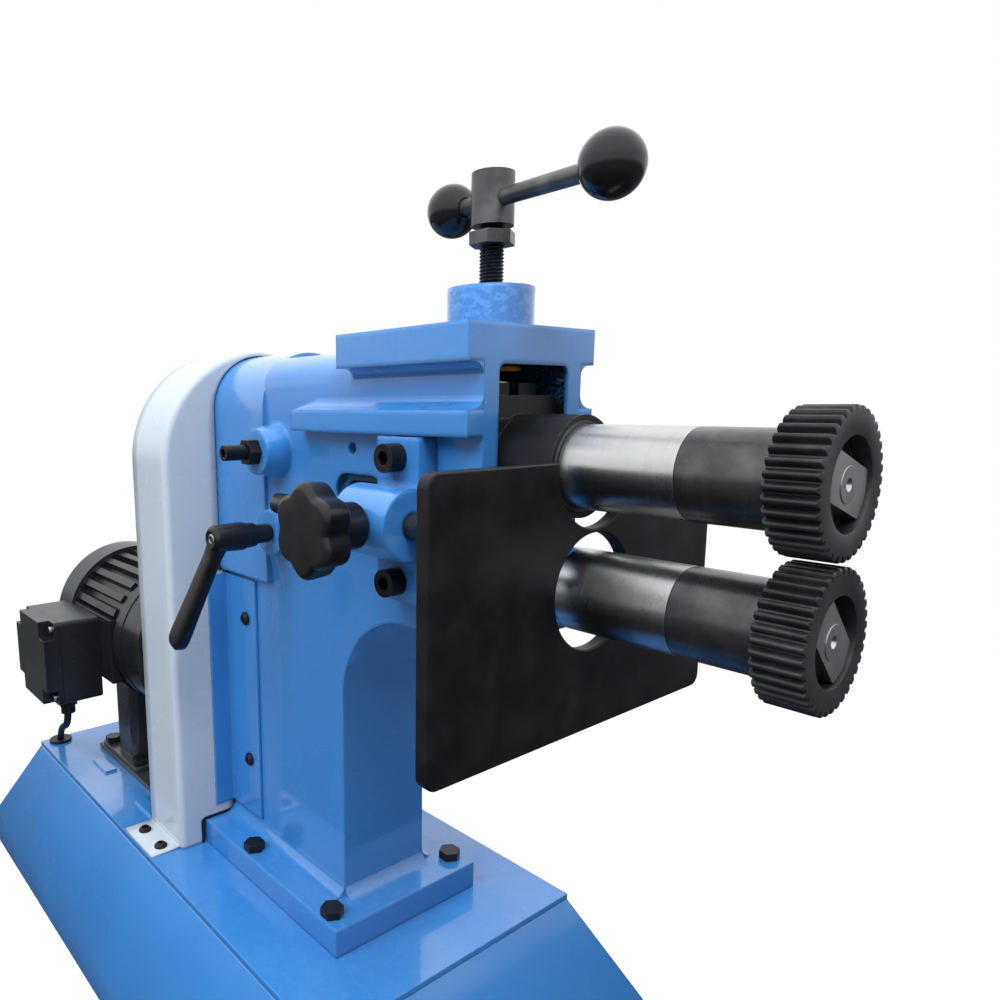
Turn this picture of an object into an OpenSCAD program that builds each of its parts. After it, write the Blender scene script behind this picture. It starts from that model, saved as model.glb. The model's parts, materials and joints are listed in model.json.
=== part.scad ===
// Electric bead roller: two geared roll shafts in a cast C frame, driven by a
// motor and chain behind a guard, on a low flared sheet metal base.
// Units are millimetres. +X points from the frame to the rolls, +Z is up, and
// the origin is the centre of the base underside.

/* [Base] */
// Length of the flat top plate
base_len = 700; // [640:5:800]
// Width of the flat top plate
base_w = 296; // [280:2:340]
// Thickness of the top plate
base_plate_t = 6; // [4:0.5:10]
// How far the sloping panels spread on each side
base_flare = 55; // [30:1:80]
// Height of the sloping part
base_slope_h = 104; // [70:1:140]
// Height of the upright skirt
base_skirt_h = 50; // [30:1:80]
// Sheet thickness of the panels
base_wall = 4; // [3:0.5:6]
// Width of the inward bottom flange
base_flange_w = 46; // [40:1:60]
// Diameter of the hold down holes
base_hole_d = 13; // [9:0.5:18]
// Spacing of the hold down holes across the base
base_hole_y = 300; // [240:5:330]

/* [Layout] */
// Distance from the base centre to the front of the head
head_reach = 413; // [405:1:430]
// Height of the lower roll axis above the top plate
axis_h = 350; // [330:1:380]
// Distance between the two roll axes
axis_gap = 84; // [82:0.5:88]

/* [Casting] */
// Length of the casting from head front to rear face
body_len = 376; // [370:1:400]
// Width of the column
col_w = 96; // [90:1:100]
// Setback of the column front behind the head front
col_setback = 166; // [150:1:180]
// Radius of the arch under the head
arch_r = 85; // [60:1:100]
// Width of the head wall
head_w = 104; // [100:1:110]
// Depth of the head below the lower axis
head_drop = 46; // [42:1:60]
// Width of the rear housing
rear_w = 111; // [106:1:120]
// Length of the rear housing
rear_len = 98; // [80:1:110]
// Height of the rear housing top above the lower axis
rear_top = 176; // [170:1:180]
// Width of the top flange and of the side ribs
flange_w = 134; // [124:1:150]
// Length of the top flange
flange_len = 145; // [120:1:160]
// Height of the top flange above the lower axis
flange_top = 180; // [176:1:190]
// Thickness of the top flange
flange_t = 26; // [20:1:30]
// Length of the side ribs
rib_len = 213; // [190:1:230]
// Height of the rib underside above the lower axis
rib_z = 104; // [102:1:106]
// Thickness of the side ribs
rib_t = 18; // [14:1:22]
// Width of the bearing window
window_w = 74; // [72:1:78]
// Depth of the bearing window
window_depth = 95; // [90:1:110]
// Corner radius of the bearing window
window_r = 6; // [4:0.5:10]
// Diameter of the screw boss
boss_d = 64; // [56:1:70]
// Height of the screw boss
boss_h = 29; // [20:1:36]
// Width of the foot
foot_w = 170; // [150:1:180]
// Thickness of the foot
foot_t = 26; // [18:1:32]

/* [Spindles] */
// Diameter of the bright shaft section and of the roll sleeve
shaft_d = 57; // [55:0.5:60]
// Diameter of the bearing journals
journal_d = 50; // [46:0.5:52]
// Diameter of the shaft nose that carries the roll
nose_d = 40; // [34:0.5:44]
// Diameter of the rear gear seat
seat_d = 36; // [30:0.5:40]
// Diameter of the threaded stud at the shaft end
stud_d = 20; // [16:0.5:22]
// Length of the bright shaft section
bright_len = 81; // [60:1:100]
// Length of the roll sleeve
sleeve_len = 55; // [40:1:70]
// Width of the feed roll
roll_w = 28; // [24:1:36]
// Gap between the feed rolls at rest
roll_gap = 2; // [1.5:0.1:4]
// Number of teeth on the feed rolls
roll_teeth = 36; // [32:4:44]
// Depth of the feed roll teeth
roll_tooth_h = 4; // [2.5:0.25:5]
// Diameter of the recess in the roll front
recess_d = 51; // [48:0.5:56]
// Depth of the recess in the roll front
recess_depth = 10; // [8:0.5:14]
// Distance across the flats of the roll nut
nut_flats = 27; // [24:0.5:32]

/* [Bearings] */
// Outside diameter of the front bushes
bush_d = 62; // [58:0.5:64]
// Diameter of the bearing noses in front of the head
bear_nose_d = 70; // [66:0.5:72]
// Diameter of the lower bearing nose, behind the shaft collar
lower_nose_d = 56; // [54:0.5:72]
// Length of the bearing noses in front of the head
bear_nose_len = 44; // [30:1:48]
// Outside diameter of the lower rear sleeve
rear_sleeve_d = 70; // [66:0.5:72]
// Length of the lower rear bearing sleeve
rear_sleeve_len = 80; // [70:1:90]
// Diameter of the passage round the upper shaft
passage_d = 90; // [88:0.5:91]
// Outside diameter of the swivel ring
swivel_d = 84; // [80:0.5:85]
// Distance of the pivot behind the head front
pivot_x = 260; // [250:1:262]
// Length of the swivel ring
swivel_len = 60; // [50:1:70]
// Diameter of the pivot screws
pivot_d = 14; // [12:1:16]

/* [Drive] */
// Teeth on each spindle gear
gear_teeth = 24; // [20:4:28]
// Width of the spindle gears
gear_w = 24; // [18:1:26]
// Teeth on the lower shaft sprocket
big_teeth = 28; // [24:4:32]
// Teeth on the reducer sprocket
small_teeth = 14; // [12:2:16]
// Chain pitch
chain_p = 15.875; // [12.7:3.175:15.875]
// Sideways offset of the motor axis
motor_y = -38; // [-45:1:-25]
// Depth of the motor axis below the lower roll axis
motor_drop = 154; // [145:1:165]
// Radius of the motor over its fins
motor_r = 88; // [80:1:90]
// Length of the finned motor body
motor_len = 125; // [110:1:135]
// Number of cooling fins
fin_count = 28; // [24:4:36]
// Radius of the fan cowl
cowl_r = 93; // [91:0.5:96]
// Length of the fan cowl
cowl_len = 46; // [40:1:56]
// Thickness of the motor rail
rail_h = 6; // [5:0.5:10]

/* [Guard] */
// Half width of the guard
guard_r = 115; // [112:1:120]
// Height of the guard arch centre above the lower axis
guard_z = 67; // [64:1:70]
// Depth of the guard
guard_depth = 78; // [74:1:84]
// Sheet thickness of the guard
guard_wall = 2.5; // [2:0.25:4]
// Gap from the guard foot tabs to the edge of the base plate
tab_inset = 1; // [0.5:0.5:4]
// Flange width of the guard brackets
bracket_lip = 24; // [18:1:30]

/* [Pressure screw] */
// Distance of the screw axis behind the head front
screw_x = 43.5; // [40:0.5:48]
// Diameter of the pressure screw
screw_d = 18; // [16:1:20]
// Diameter of the tee hub
hub_d = 31; // [29:0.5:36]
// Diameter of the tee bar
bar_d = 12; // [10:0.5:14]
// Distance between the ball centres
bar_len = 175; // [150:1:200]
// Distance from the hub axis to the far ball centre
bar_far = 54; // [48:1:80]
// Angle of the tee bar at rest
bar_angle = -12.7; // [-45:0.1:45]
// Downward lean of the near end of the tee bar
bar_lean = 3.3; // [0:0.1:5]
// Diameter of the ball knobs
ball_d = 40; // [36:1:45]

/* [Gauge] */
// Width of the gauge plate
plate_w = 300; // [260:1:320]
// Thickness of the gauge plate
plate_t = 10; // [8:0.5:12]
// Corner radius of the gauge plate
plate_corner = 4; // [2:0.5:8]
// Height of the gauge plate top above the lower axis
plate_top = 89; // [86:1:92]
// Depth of the gauge plate below the lower axis
plate_drop = 99; // [80:1:110]
// Diameter of the openings round the shafts
plate_hole_d = 81; // [76:0.5:81.5]
// Distance of the plate front before the head front
plate_x = 56; // [54:1:70]
// Diameter of the gauge rod
rod_d = 18; // [14:0.5:20]
// Sideways place of the gauge rod
rod_y = 82; // [81:1:88]
// Height of the gauge rod above the lower axis
rod_z = 42; // [40:1:44]
// Distance of the bracket centre behind the head front
bracket_x = 67; // [64:1:72]
// Width of the bracket plate
bracket_w = 46; // [40:1:54]
// Diameter of the bracket boss
bracket_boss_d = 53; // [46:1:56]
// Diameter of the star knob
knob_d = 68; // [60:1:74]
// Radius of the star knob lobes
knob_lobe_r = 16; // [12:1:18]

/* [Clearances] */
// Radial running clearance
fit_run = 0.05; // [0.02:0.01:0.1]
// Radial clearance of a seated piece
fit_seat = 0.02; // [0.01:0.01:0.05]
// Gap between pieces that move past each other
gap = 0.3; // [0.3:0.05:0.5]

/* [Details] */
// Height of the lever clamp above the lower axis
clamp_z = 8; // [0:1:10]
// Diameter of the clamp stud
clamp_d = 12; // [10:1:14]
// Diameter of the pivot bosses
pivot_boss_d = 52; // [44:1:56]
// How far the pivot bosses stand out
pivot_boss_h = 23; // [16:1:28]
// Diameter of the pivot bosses at their ends
pivot_end_d = 42; // [36:1:46]
// Diameter of the clamp boss
clamp_boss_d = 44; // [36:1:46]
// How far the clamp boss stands out
clamp_boss_h = 10; // [6:1:16]
// Height of the rounded ridge between housing and flange
ridge_top = 170; // [166:1:174]
// Upper edge of the side step, below the lower axis
step_hi = 14; // [10:1:20]
// Lower edge of the side step, below the lower axis
step_lo = 39; // [34:1:41]
// Floor of the bearing window above the lower axis
window_z = 40; // [39:0.5:42]
// Height of the front bearing block
block_h = 84; // [80:1:85]
// Length of the front bearing block
block_len = 72; // [60:1:76]
// How far the lower face of the block stands proud
block_step = 4; // [2:0.5:6]
// Width of the lugs on the bearing block
lug_w = 20; // [16:1:22]
// Height of the lugs on the bearing block
lug_h = 9; // [6:0.5:9.5]
// Width of the slot between the lugs
lug_slot = 10; // [8:0.5:14]
// Diameter of the return springs
spring_d = 12.4; // [11:0.2:13]
// Wire diameter of the return springs
spring_wire = 2; // [1.6:0.1:2.2]
// Coils of each return spring
spring_turns = 4; // [3:1:5]
// Spacing of the return springs from the centre plane
spring_y = 29; // [28.5:0.1:29.5]
// Depth of the spring pockets
spring_pocket = 13; // [10:1:13]
// Diameter of the bronze screw nut
screw_nut_d = 40; // [34:1:44]
// Length of the bronze screw nut
screw_nut_len = 44; // [36:1:48]
// Height of the jam nut above the lower axis
jam_z = 239; // [232:1:245]
// Thickness of the jam nut
jam_t = 9.5; // [8:0.5:12]
// Gap between the jam nut and the tee hub
jam_gap = 3.8; // [2:0.1:6]
// Height of the tee hub
hub_h = 36.5; // [34:0.5:44]
// Height of the tee bar above the hub bottom
bar_up = 18.5; // [17:0.5:22]
// Height of the gear teeth above the pitch circle
gear_add = 2.5; // [2:0.1:2.6]
// Depth of the gear teeth below the pitch circle
gear_ded = 5.8; // [5.6:0.1:6.5]
// Play between the gear flanks
gear_slack = 2.8; // [2.6:0.1:3.2]
// Wall of the driven sprocket's hub
big_hub_wall = 11; // [8:0.5:12]
// Wall of the drive sprocket's hub
small_hub_wall = 8; // [6:0.5:9]
// Diameter of the chain rollers
roller_d = 10.2; // [8.5:0.1:10.2]
// Length of the reducer
reducer_len = 47; // [40:1:52]
// Radius of the reducer
reducer_r = 84; // [70:1:86]
// Length of the motor end bell
bell_len = 25; // [20:1:30]
// Radius of the motor end bell
bell_r = 85; // [80:1:87]
// Diameter of the motor shaft
motor_shaft_d = 24; // [19:1:28]
// Diameter of the fan hub
fan_hub_d = 40; // [34:1:46]
// Diameter of the fan disc
fan_d = 130; // [120:1:140]
// Width of the fan
fan_w = 22; // [18:1:24]
// Gap between the fan and the cowl's end
fan_gap = 10; // [8:1:12]
// Thickness of the fan disc and blades
fan_t = 3; // [2:0.5:4]
// Depth of the saddle in the motor post
saddle_depth = 18; // [12:1:22]
// Diameter of the reducer output shaft
out_d = 28; // [24:1:30]
// Length of the terminal box
box_len = 114; // [90:1:120]
// How far the terminal box reaches behind the motor body
box_back = 25; // [15:1:32]
// Height of the terminal box top above the motor axis
box_rise = 28; // [24:1:34]
// Height of the terminal box
box_h = 102; // [90:1:110]
// Depth of the terminal box behind its lid
box_depth = 47; // [40:1:50]
// Thickness of the terminal box lid
lid_t = 19; // [14:1:22]
// Wall of the terminal box
box_wall = 3; // [2:0.5:4]
// Diameter of the motor lead
lead_d = 9; // [7:0.5:10]
// Length of the easing at each end of the motor lead
lead_ease = 90; // [80:5:100]
// Distance of the lead grommet from the rear edge of the base
grommet_inset = 16; // [15.5:0.5:24]
// Distance of the lead grommet from the side edge of the base
grommet_side = 23; // [18:1:30]
// Length of the motor post
post_len = 60; // [50:1:70]
// Width of the motor post
post_w = 76; // [66:1:80]
// Width of the motor rail
rail_w = 100; // [96:1:110]
// Length of the motor rail
rail_len = 235; // [225:1:240]
// Thickness of the feet on the motor rail
post_foot_t = 6; // [5:0.5:10]
// Length of the pads beside the motor rail
weld_pad_len = 48; // [40:1:56]
// Width of the pads beside the motor rail
weld_pad_w = 15; // [12:1:18]
// Shank diameter of the bracket cap screws
cap_d = 12; // [10:1:12]
// Head diameter of the bracket cap screws
cap_head_d = 21; // [18:0.5:23]
// Head height of the bracket cap screws
cap_head = 14; // [12:0.5:16]
// Height of the bracket plate
bracket_h = 122; // [116:1:124]
// Thickness of the bracket plate
bracket_t = 18; // [14:1:20]
// Length of the bracket boss
bracket_boss_len = 60; // [52:1:70]
// Spacing of the bracket cap screws
cap_spacing = 92; // [88:1:96]
// Length of the gauge rod behind the plate
rod_len = 258; // [255:1:280]
// Length of the star knob neck
knob_neck = 23; // [16:1:28]
// Thickness of the star knob lobes
knob_t = 25; // [20:1:28]
// Length of the clamp lever hub
lever_hub_len = 60; // [54:1:64]
// Diameter of the clamp lever hub
lever_hub_d = 26; // [22:1:30]
// Reach of the clamp lever arm
lever_reach = 107; // [90:1:118]
// Diameter of the clamp lever arm at its root
lever_root_d = 16; // [12:1:18]
// Diameter of the clamp lever arm at its tip
lever_tip_d = 22; // [18:1:24]
// Angle of the clamp lever from straight down
lever_angle = 20.7; // [0:0.1:40]
// Outward lean of the clamp lever tip
lever_lean = 28; // [20:1:34]
// Shank diameter of the guard screws
guard_screw_d = 8; // [6:1:8]
// Shank diameter of the foot bolts
foot_bolt_d = 12; // [10:1:14]

/* [Hidden] */
$fn = 64;

eps = 1;
blue = "#4a8fd6";
grey = "#c3cbd4";
black = "#1d1f22";
steel = "#b9bcbf";
bronze = "#b08a4a";

base_h = base_plate_t + base_slope_h + base_skirt_h;
axis_z = base_h + axis_h;
floor_z = -axis_h;
rear_x = -body_len;
shoulder_z = flange_top - flange_t;
window_top = shoulder_z - 1;
col_half = col_w / 2;
head_half = head_w / 2;
flange_half = flange_w / 2;
pivot_half = head_half + pivot_boss_h;
clamp_half = head_half + clamp_boss_h;

guard_x = rear_x + 4;
guard_in = guard_x - guard_wall;
tab_w = base_w / 2 - guard_r - tab_inset;
guard_end = guard_x - guard_depth;
guard_end_in = guard_end + guard_wall;
notch_half = foot_w / 2 + 4;
notch_top = floor_z + foot_t + 2;
plug_screw_z = [-92, -247];

gear_m = axis_gap / gear_teeth;
gear_x = rear_x - 4 - gear_w;
chain_x = gear_x - 21;
lower_end = chain_x - 14;
upper_end = gear_x - 4;
sprocket_t = 9;
big_r = chain_p / 2 / sin(180 / big_teeth);
small_r = chain_p / 2 / sin(180 / small_teeth);
loop_inset = 0.08;
seat_r = roller_d / 2 + 0.4;
link_x0 = 5.2;
link_x1 = 6.8;

bright_x = bear_nose_len + gap;
sleeve_x = bright_x + bright_len;
roll_x = sleeve_x + sleeve_len;
roll_end = roll_x + roll_w;
recess_x = roll_end - recess_depth;
nose_end = recess_x - gap;
stud_end = roll_end - 1.5;
roll_r = (axis_gap - roll_gap) / 2;
block_front = -10;
block_x = block_front - block_len;
ledge_z = axis_gap + bear_nose_d / 2 - 3;
lug_x = block_front - 9;
lug_t = 7;
lug_y = lug_slot / 2;
block_z = window_z + 8;
block_top = block_z + block_h;
nut_z = window_top - 4;
pad_z = block_top + gap;
pad_t = 10;
screw_z = pad_z + pad_t + gap;
jam_end = jam_z + jam_t;
hub_z = jam_end + jam_gap;
bar_z = hub_z + bar_up;

reducer_x = guard_end - 2;
reducer_end = reducer_x - reducer_len;
bell_x = reducer_end - bell_len;
motor_end = bell_x - motor_len;
shield_t = 8;
cowl_wall = 2.5;
cowl_x = motor_end - cowl_len;
fan_x0 = cowl_x + fan_gap;
fan_x1 = fan_x0 + fan_w;
fin_h = 9;
bell_edge = 4;
hub_len = 14;
rotor_inset = 16;
rotor_gap = 2;
rotor_x0 = motor_end + rotor_inset;
rotor_x1 = bell_x - rotor_inset + rotor_gap;
input_depth = 16;
post_x0 = motor_end - 6;
post_x1 = post_x0 + post_len;
rail_x1 = guard_end - 5;
rail_top = floor_z + rail_h;
foot_x = [-152, -288];
pocket_x = [-168, -106];
pocket_z = [40, 70];
pocket_t = 6;
slot_x = [-158, -112];
slot_z = [46, 64];
foot_y = 73;
foot_half = rail_w / 2 - 2;
post_step = 16;
post_reach = 30;
post_bolt_x = [post_x0 - post_step, post_x1 + post_step];
post_bolt_y = foot_half - 11;
pedestal_half = post_bolt_y - 11;
weld_pad_t = 3;
weld_pad_x = [rail_x1 - 195, rail_x1 - 50];
weld_pad_y = motor_y - rail_w / 2 - 10;
box_x0 = motor_end - box_back;
box_x1 = box_x0 + box_len;
box_top = box_rise - motor_drop;
box_z = box_top - box_h;
motor_pad = motor_r - 2;
box_y1 = motor_y - motor_pad;
box_y0 = box_y1 - box_depth;
gland_x = box_x1 - 28;
gland_y = box_y0 + 12;
grommet_x = grommet_inset - base_len / 2 - head_reach;
grommet_y = grommet_side - base_w / 2;
grommet_lip = 4;
gland_len = 20;
lead_steps = 18;
lead_tail = 20;

rod_rear = plate_x - plate_t - rod_len;
plate_back = plate_x - plate_t;
bracket_y = head_half + bracket_t;
boss_out = rod_y + bracket_boss_d / 2;
knob_y = boss_out + gap;
cap_z = [rod_z - cap_spacing / 2, rod_z + cap_spacing / 2];
tip_d = 12;
rotor_r = 48;
hub_out_d = 58;
grommet_d = 22;
gland_d = 16;
lid_flange = 6;
lid_corner = 9;
lid_notch = 20;
lid_screw_len = 14;
foot_fillet = 14;
ridge_r = 28;
reducer_mid = (reducer_end + reducer_x) / 2;
bracket_x1 = rear_x + 66;
bracket_z0 = floor_z + foot_t + foot_fillet + 1;
bracket_z1 = -step_lo - 11;
bracket_screw_x = rear_x + 47;
tab_screw_x = [guard_end + 18, guard_end + 60];
knob_stud_d = 12;
ball_grip = 8;
knob_neck_d = knob_d / 2;
plate_shift = -4;
lever_tilt = atan2(lever_lean, lever_reach);
grey_dark = "#3a3d42";

// Route of the motor lead from the gland into the base, in the head frame
lead_a = [gland_x, gland_y, box_z - gland_len];
lead_b = [grommet_x, grommet_y, floor_z + grommet_lip];
lead_route = concat(
    [lead_a + [0, 0, gland_len + box_wall + 9]],
    [for (t = [0 : lead_steps]) bezier(lead_a, lead_b, lead_ease, t / lead_steps)],
    [lead_b - [0, 0, grommet_lip + base_plate_t + lead_tail]]
);

function unit(v) = v / norm(v);
function bezier(a, b, k, t) =
    let (u = 1 - t, d = [0, 0, k])
    u * u * u * a + 3 * u * u * t * (a - d) + 3 * u * t * t * (b + d) + t * t * t * b;
function polar(r, a) = [r * cos(a), r * sin(a)];
function tangent(p, i) = unit(p[min(i + 1, len(p) - 1)] - p[max(i - 1, 0)]);
function ring(p, t, ref, r, n) =
    let (u = unit(cross(ref, t)), v = cross(t, u))
    [for (k = [0 : n - 1]) p + r * (cos(360 * k / n) * u + sin(360 * k / n) * v)];
function tube_faces(m, n) = concat(
    [for (i = [0 : m - 2], k = [0 : n - 1]) [i * n + k, (i + 1) * n + k, i * n + (k + 1) % n]],
    [for (i = [0 : m - 2], k = [0 : n - 1])
        [i * n + (k + 1) % n, (i + 1) * n + k, (i + 1) * n + (k + 1) % n]],
    [for (k = [1 : n - 2]) [0, k, k + 1]],
    [for (k = [1 : n - 2]) [(m - 1) * n, (m - 1) * n + k + 1, (m - 1) * n + k]]
);
function involute(a) = tan(a) - a * PI / 180;
function half_tooth(r, rp, rb, s) =
    s / 2 / rp * 180 / PI + (involute(20) - involute(acos(min(1, rb / r)))) * 180 / PI;
function gear_points(n, m, add, ded, slack) =
    let (rp = n * m / 2, rb = rp * cos(20), s = PI * m / 2 - slack / 2)
    let (rs = [rp - ded, rb, rb + (rp - rb) / 2, rp, rp + add / 2, rp + add])
    [for (i = [0 : n - 1], k = [0 : 11])
        let (r = rs[k < 6 ? k : 11 - k], h = half_tooth(max(r, rb), rp, rb, s))
        polar(r, i * 360 / n + (k < 6 ? -h : h))];
function roll_points(n, r, h) = [for (i = [0 : n - 1], k = [0 : 5])
    let (q = 360 / n)
    polar([r - h, r - 0.7, r, r, r - 0.7, r - h][k], i * q + q * [-0.36, -0.27, -0.19, 0.19, 0.27, 0.36][k])];

module at_head() translate([head_reach, 0, axis_z]) children();
module at_upper() at_head() translate([0, 0, axis_gap]) children();
module at_motor() at_head() translate([0, motor_y, -motor_drop]) children();
module xcyl(d, x0, x1) translate([x0, 0, 0]) rotate([0, 90, 0]) cylinder(d = d, h = x1 - x0);
module ycyl(d, y0, y1) translate([0, y0, 0]) rotate([-90, 0, 0]) cylinder(d = d, h = y1 - y0);
module zcyl(d, z0, z1) translate([0, 0, z0]) cylinder(d = d, h = z1 - z0);
module slab(a, b) translate(a) cube(b - a);
module along_x(x0, x1) translate([x0, 0, 0]) rotate([90, 0, 90]) linear_extrude(x1 - x0) children();
module along_y(y0, y1) translate([0, y1, 0]) rotate([90, 0, 0]) linear_extrude(y1 - y0) children();
module both_sides() {
    children();
    mirror([0, 1, 0]) children();
}
module bored_x(d, bore, x0, x1) difference() {
    xcyl(d, x0, x1);
    xcyl(bore, x0 - eps, x1 + eps);
}
module round_top(w, z0, z1, r) {
    translate([-w / 2, z0]) square([w, z1 - r - z0]);
    if (w > 2 * r) translate([-w / 2 + r, z0]) square([w - 2 * r, z1 - z0]);
    translate([-w / 2 + r, z1 - r]) circle(r);
    translate([w / 2 - r, z1 - r]) circle(r);
}
module arch(half, z0, zc) {
    translate([-half, z0]) square([2 * half, zc - z0]);
    translate([0, zc]) circle(half, $fn = 96);
}
module round_rect(x0, x1, y0, y1, r) {
    translate([x0 + r, y0]) square([x1 - x0 - 2 * r, y1 - y0]);
    translate([x0, y0 + r]) square([x1 - x0, y1 - y0 - 2 * r]);
    for (x = [x0 + r, x1 - r], y = [y0 + r, y1 - r])
        translate([x, y]) circle(r);
}
module slot_shape(x0, x1, z0, z1) {
    r = (z1 - z0) / 2;
    translate([x0 + r, z0]) square([x1 - x0 - 2 * r, z1 - z0]);
    translate([x0 + r, z0 + r]) circle(r);
    translate([x1 - r, z0 + r]) circle(r);
}
module hex(flats) circle(d = flats / cos(30), $fn = 6);
module tube(route, ref, r, n) {
    rings = [for (i = [0 : len(route) - 1]) each ring(route[i], tangent(route, i), ref, r, n)];
    polyhedron(rings, tube_faces(len(route), n), convexity = 6);
}

// Flared base

module panel(l, w, hole_y) {
    t = base_wall;
    f = base_flare;
    z1 = base_h - base_plate_t;
    z0 = base_skirt_h;
    polyhedron([
        [-l, w, z1], [l, w, z1], [l + f, w + f, z0], [-l - f, w + f, z0],
        [-l + t, w - t, z1], [l - t, w - t, z1], [l + f - t, w + f - t, z0], [-l - f + t, w + f - t, z0]
    ], [[3, 2, 1, 0], [4, 5, 6, 7], [0, 1, 5, 4], [3, 7, 6, 2], [1, 2, 6, 5], [0, 4, 7, 3]]);
    linear_extrude(z0) mitred(l + f, w + f, 0, t);
    linear_extrude(t) difference() {
        mitred(l + f, w + f, 0, base_flange_w);
        for (x = [-hole_y / 2, hole_y / 2])
            if (hole_y > 0) translate([x, w + f - base_flange_w / 2]) circle(d = base_hole_d);
    }
}

module mitred(l, w, a, b) polygon([
    [-l + a, w - a], [l - a, w - a], [l - b, w - b], [-l + b, w - b]
]);

module base_top_plate() color(blue) difference() {
    union() {
        translate([-base_len / 2, -base_w / 2, base_h - base_plate_t]) cube([base_len, base_w, base_plate_t]);
        at_head() for (x = weld_pad_x)
            slab([x, weld_pad_y - weld_pad_w, floor_z - eps],
                [x + weld_pad_len, weld_pad_y, floor_z + weld_pad_t]);
    }
    at_head() {
        translate([grommet_x, grommet_y, floor_z]) zcyl(grommet_d, -base_plate_t - eps, eps);
        each_bolt() zcyl(foot_bolt_d + 2 * fit_seat, -base_plate_t - eps, eps);
        both_sides() for (x = tab_screw_x)
            translate([x, guard_r + tab_w / 2, floor_z])
                zcyl(guard_screw_d + 2 * fit_seat, -base_plate_t - eps, eps);
    }
}

module base_left_panel() color(blue) panel(base_len / 2, base_w / 2, 0);

module base_right_panel() color(blue) rotate([0, 0, 180]) panel(base_len / 2, base_w / 2, 0);

module base_front_panel() color(blue) rotate([0, 0, -90]) panel(base_w / 2, base_len / 2, base_hole_y);

module base_rear_panel() color(blue) rotate([0, 0, 90]) panel(base_w / 2, base_len / 2, base_hole_y);

// Cast frame

module each_bolt() {
    for (x = foot_x, y = [-foot_y, foot_y]) translate([x, y, floor_z]) children();
    for (x = post_bolt_x, y = [-post_bolt_y, post_bolt_y]) translate([x, motor_y + y, floor_z]) children();
    for (y = [-post_bolt_y, post_bolt_y]) translate([reducer_mid, motor_y + y, floor_z]) children();
}

module frame_casting() color(blue) at_head() difference() {
    union() {
        casting_column();
        casting_head();
        both_sides() translate([-pivot_x, 0, axis_gap]) {
            ycyl(pivot_boss_d, 45, head_half);
            translate([0, head_half, 0]) rotate([-90, 0, 0])
                cylinder(d1 = pivot_boss_d, d2 = pivot_end_d, h = pivot_boss_h);
        }
        translate([-pivot_x, 0, clamp_z]) ycyl(clamp_boss_d, -clamp_half, -40);
        translate([-screw_x, 0, 0]) zcyl(boss_d, flange_top - eps, flange_top + boss_h);
    }
    casting_bores();
    casting_pockets();
}

module casting_column() {
    slab([rear_x, -col_half, floor_z], [-col_setback, col_half, -step_lo]);
    slab([rear_x - 24, -foot_w / 2, floor_z], [-col_setback + 36, foot_w / 2, floor_z + foot_t]);
    along_y(-col_half, col_half) difference() {
        translate([-col_setback, -head_drop - arch_r]) square(arch_r);
        translate([-col_setback + arch_r, -head_drop - arch_r]) circle(arch_r, $fn = 96);
    }
    both_sides() along_x(guard_x + gap, -col_setback) difference() {
        translate([col_half, floor_z + foot_t]) square(foot_fillet);
        translate([col_half + foot_fillet, floor_z + foot_t + foot_fillet]) circle(foot_fillet);
    }
    along_y(-col_half, col_half) difference() {
        translate([-col_setback, floor_z + foot_t]) square(foot_fillet);
        translate([-col_setback + foot_fillet, floor_z + foot_t + foot_fillet]) circle(foot_fillet);
    }
}

module casting_head() {
    slab([rear_x, -col_half, -head_drop], [0, col_half, -step_lo]);
    along_x(rear_x, 0) polygon([
        [-col_half, -step_lo], [col_half, -step_lo], [head_half, -step_hi], [-head_half, -step_hi]
    ]);
    slab([rear_x + rear_len, -head_half, -step_hi], [0, head_half, shoulder_z - 20]);
    slab([-flange_len, -head_half, shoulder_z - 20], [0, head_half, shoulder_z]);
    along_x(rear_x + rear_len, -flange_len) round_top(head_w, 0, ridge_top, ridge_r);
    along_x(rear_x, rear_x + rear_len) round_top(rear_w, -step_lo - 6, rear_top, rear_w / 2);
    slab([-flange_len, -flange_half, shoulder_z], [0, flange_half, flange_top]);
    slab([-rib_len, -flange_half, rib_z], [0, flange_half, rib_z + rib_t]);
}

module casting_bores() {
    along_x(-window_depth, eps) round_top(window_w, window_z, window_top, window_r);
    translate([0, 0, axis_gap]) xcyl(passage_d, rear_x - eps, -window_depth + eps);
    xcyl(bush_d + 2 * fit_seat, -window_depth - eps, eps);
    xcyl(rear_sleeve_d + 2 * fit_seat, rear_x - eps, -window_depth);
    translate([-screw_x, 0, 0]) {
        zcyl(screw_nut_d + 2 * fit_seat, window_top - eps, nut_z + screw_nut_len + gap);
        zcyl(screw_d + 2, flange_top, flange_top + boss_h + eps);
    }
    translate([-pivot_x, 0, axis_gap]) ycyl(pivot_d + 2 * fit_seat, -pivot_half - eps, pivot_half + eps);
    translate([-pivot_x, 0, clamp_z]) ycyl(clamp_d + 2 * fit_run, -clamp_half - eps, -20);
    for (y = [-spring_y, spring_y])
        translate([-screw_x, y, 0]) zcyl(spring_d + 2, window_z - spring_pocket, window_z + eps);
    for (x = foot_x, y = [-foot_y, foot_y])
        translate([x, y, floor_z]) zcyl(foot_bolt_d + 2 * fit_seat, -eps, foot_t + eps);
    for (z = cap_z)
        translate([-bracket_x, 0, z]) ycyl(cap_d + 2 * fit_seat, -head_half - eps, -head_half + 7);
    both_sides() for (z = plug_screw_z)
        translate([bracket_screw_x, 0, z]) ycyl(guard_screw_d + 2 * fit_seat, col_half - 14, col_half + eps);
}

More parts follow.
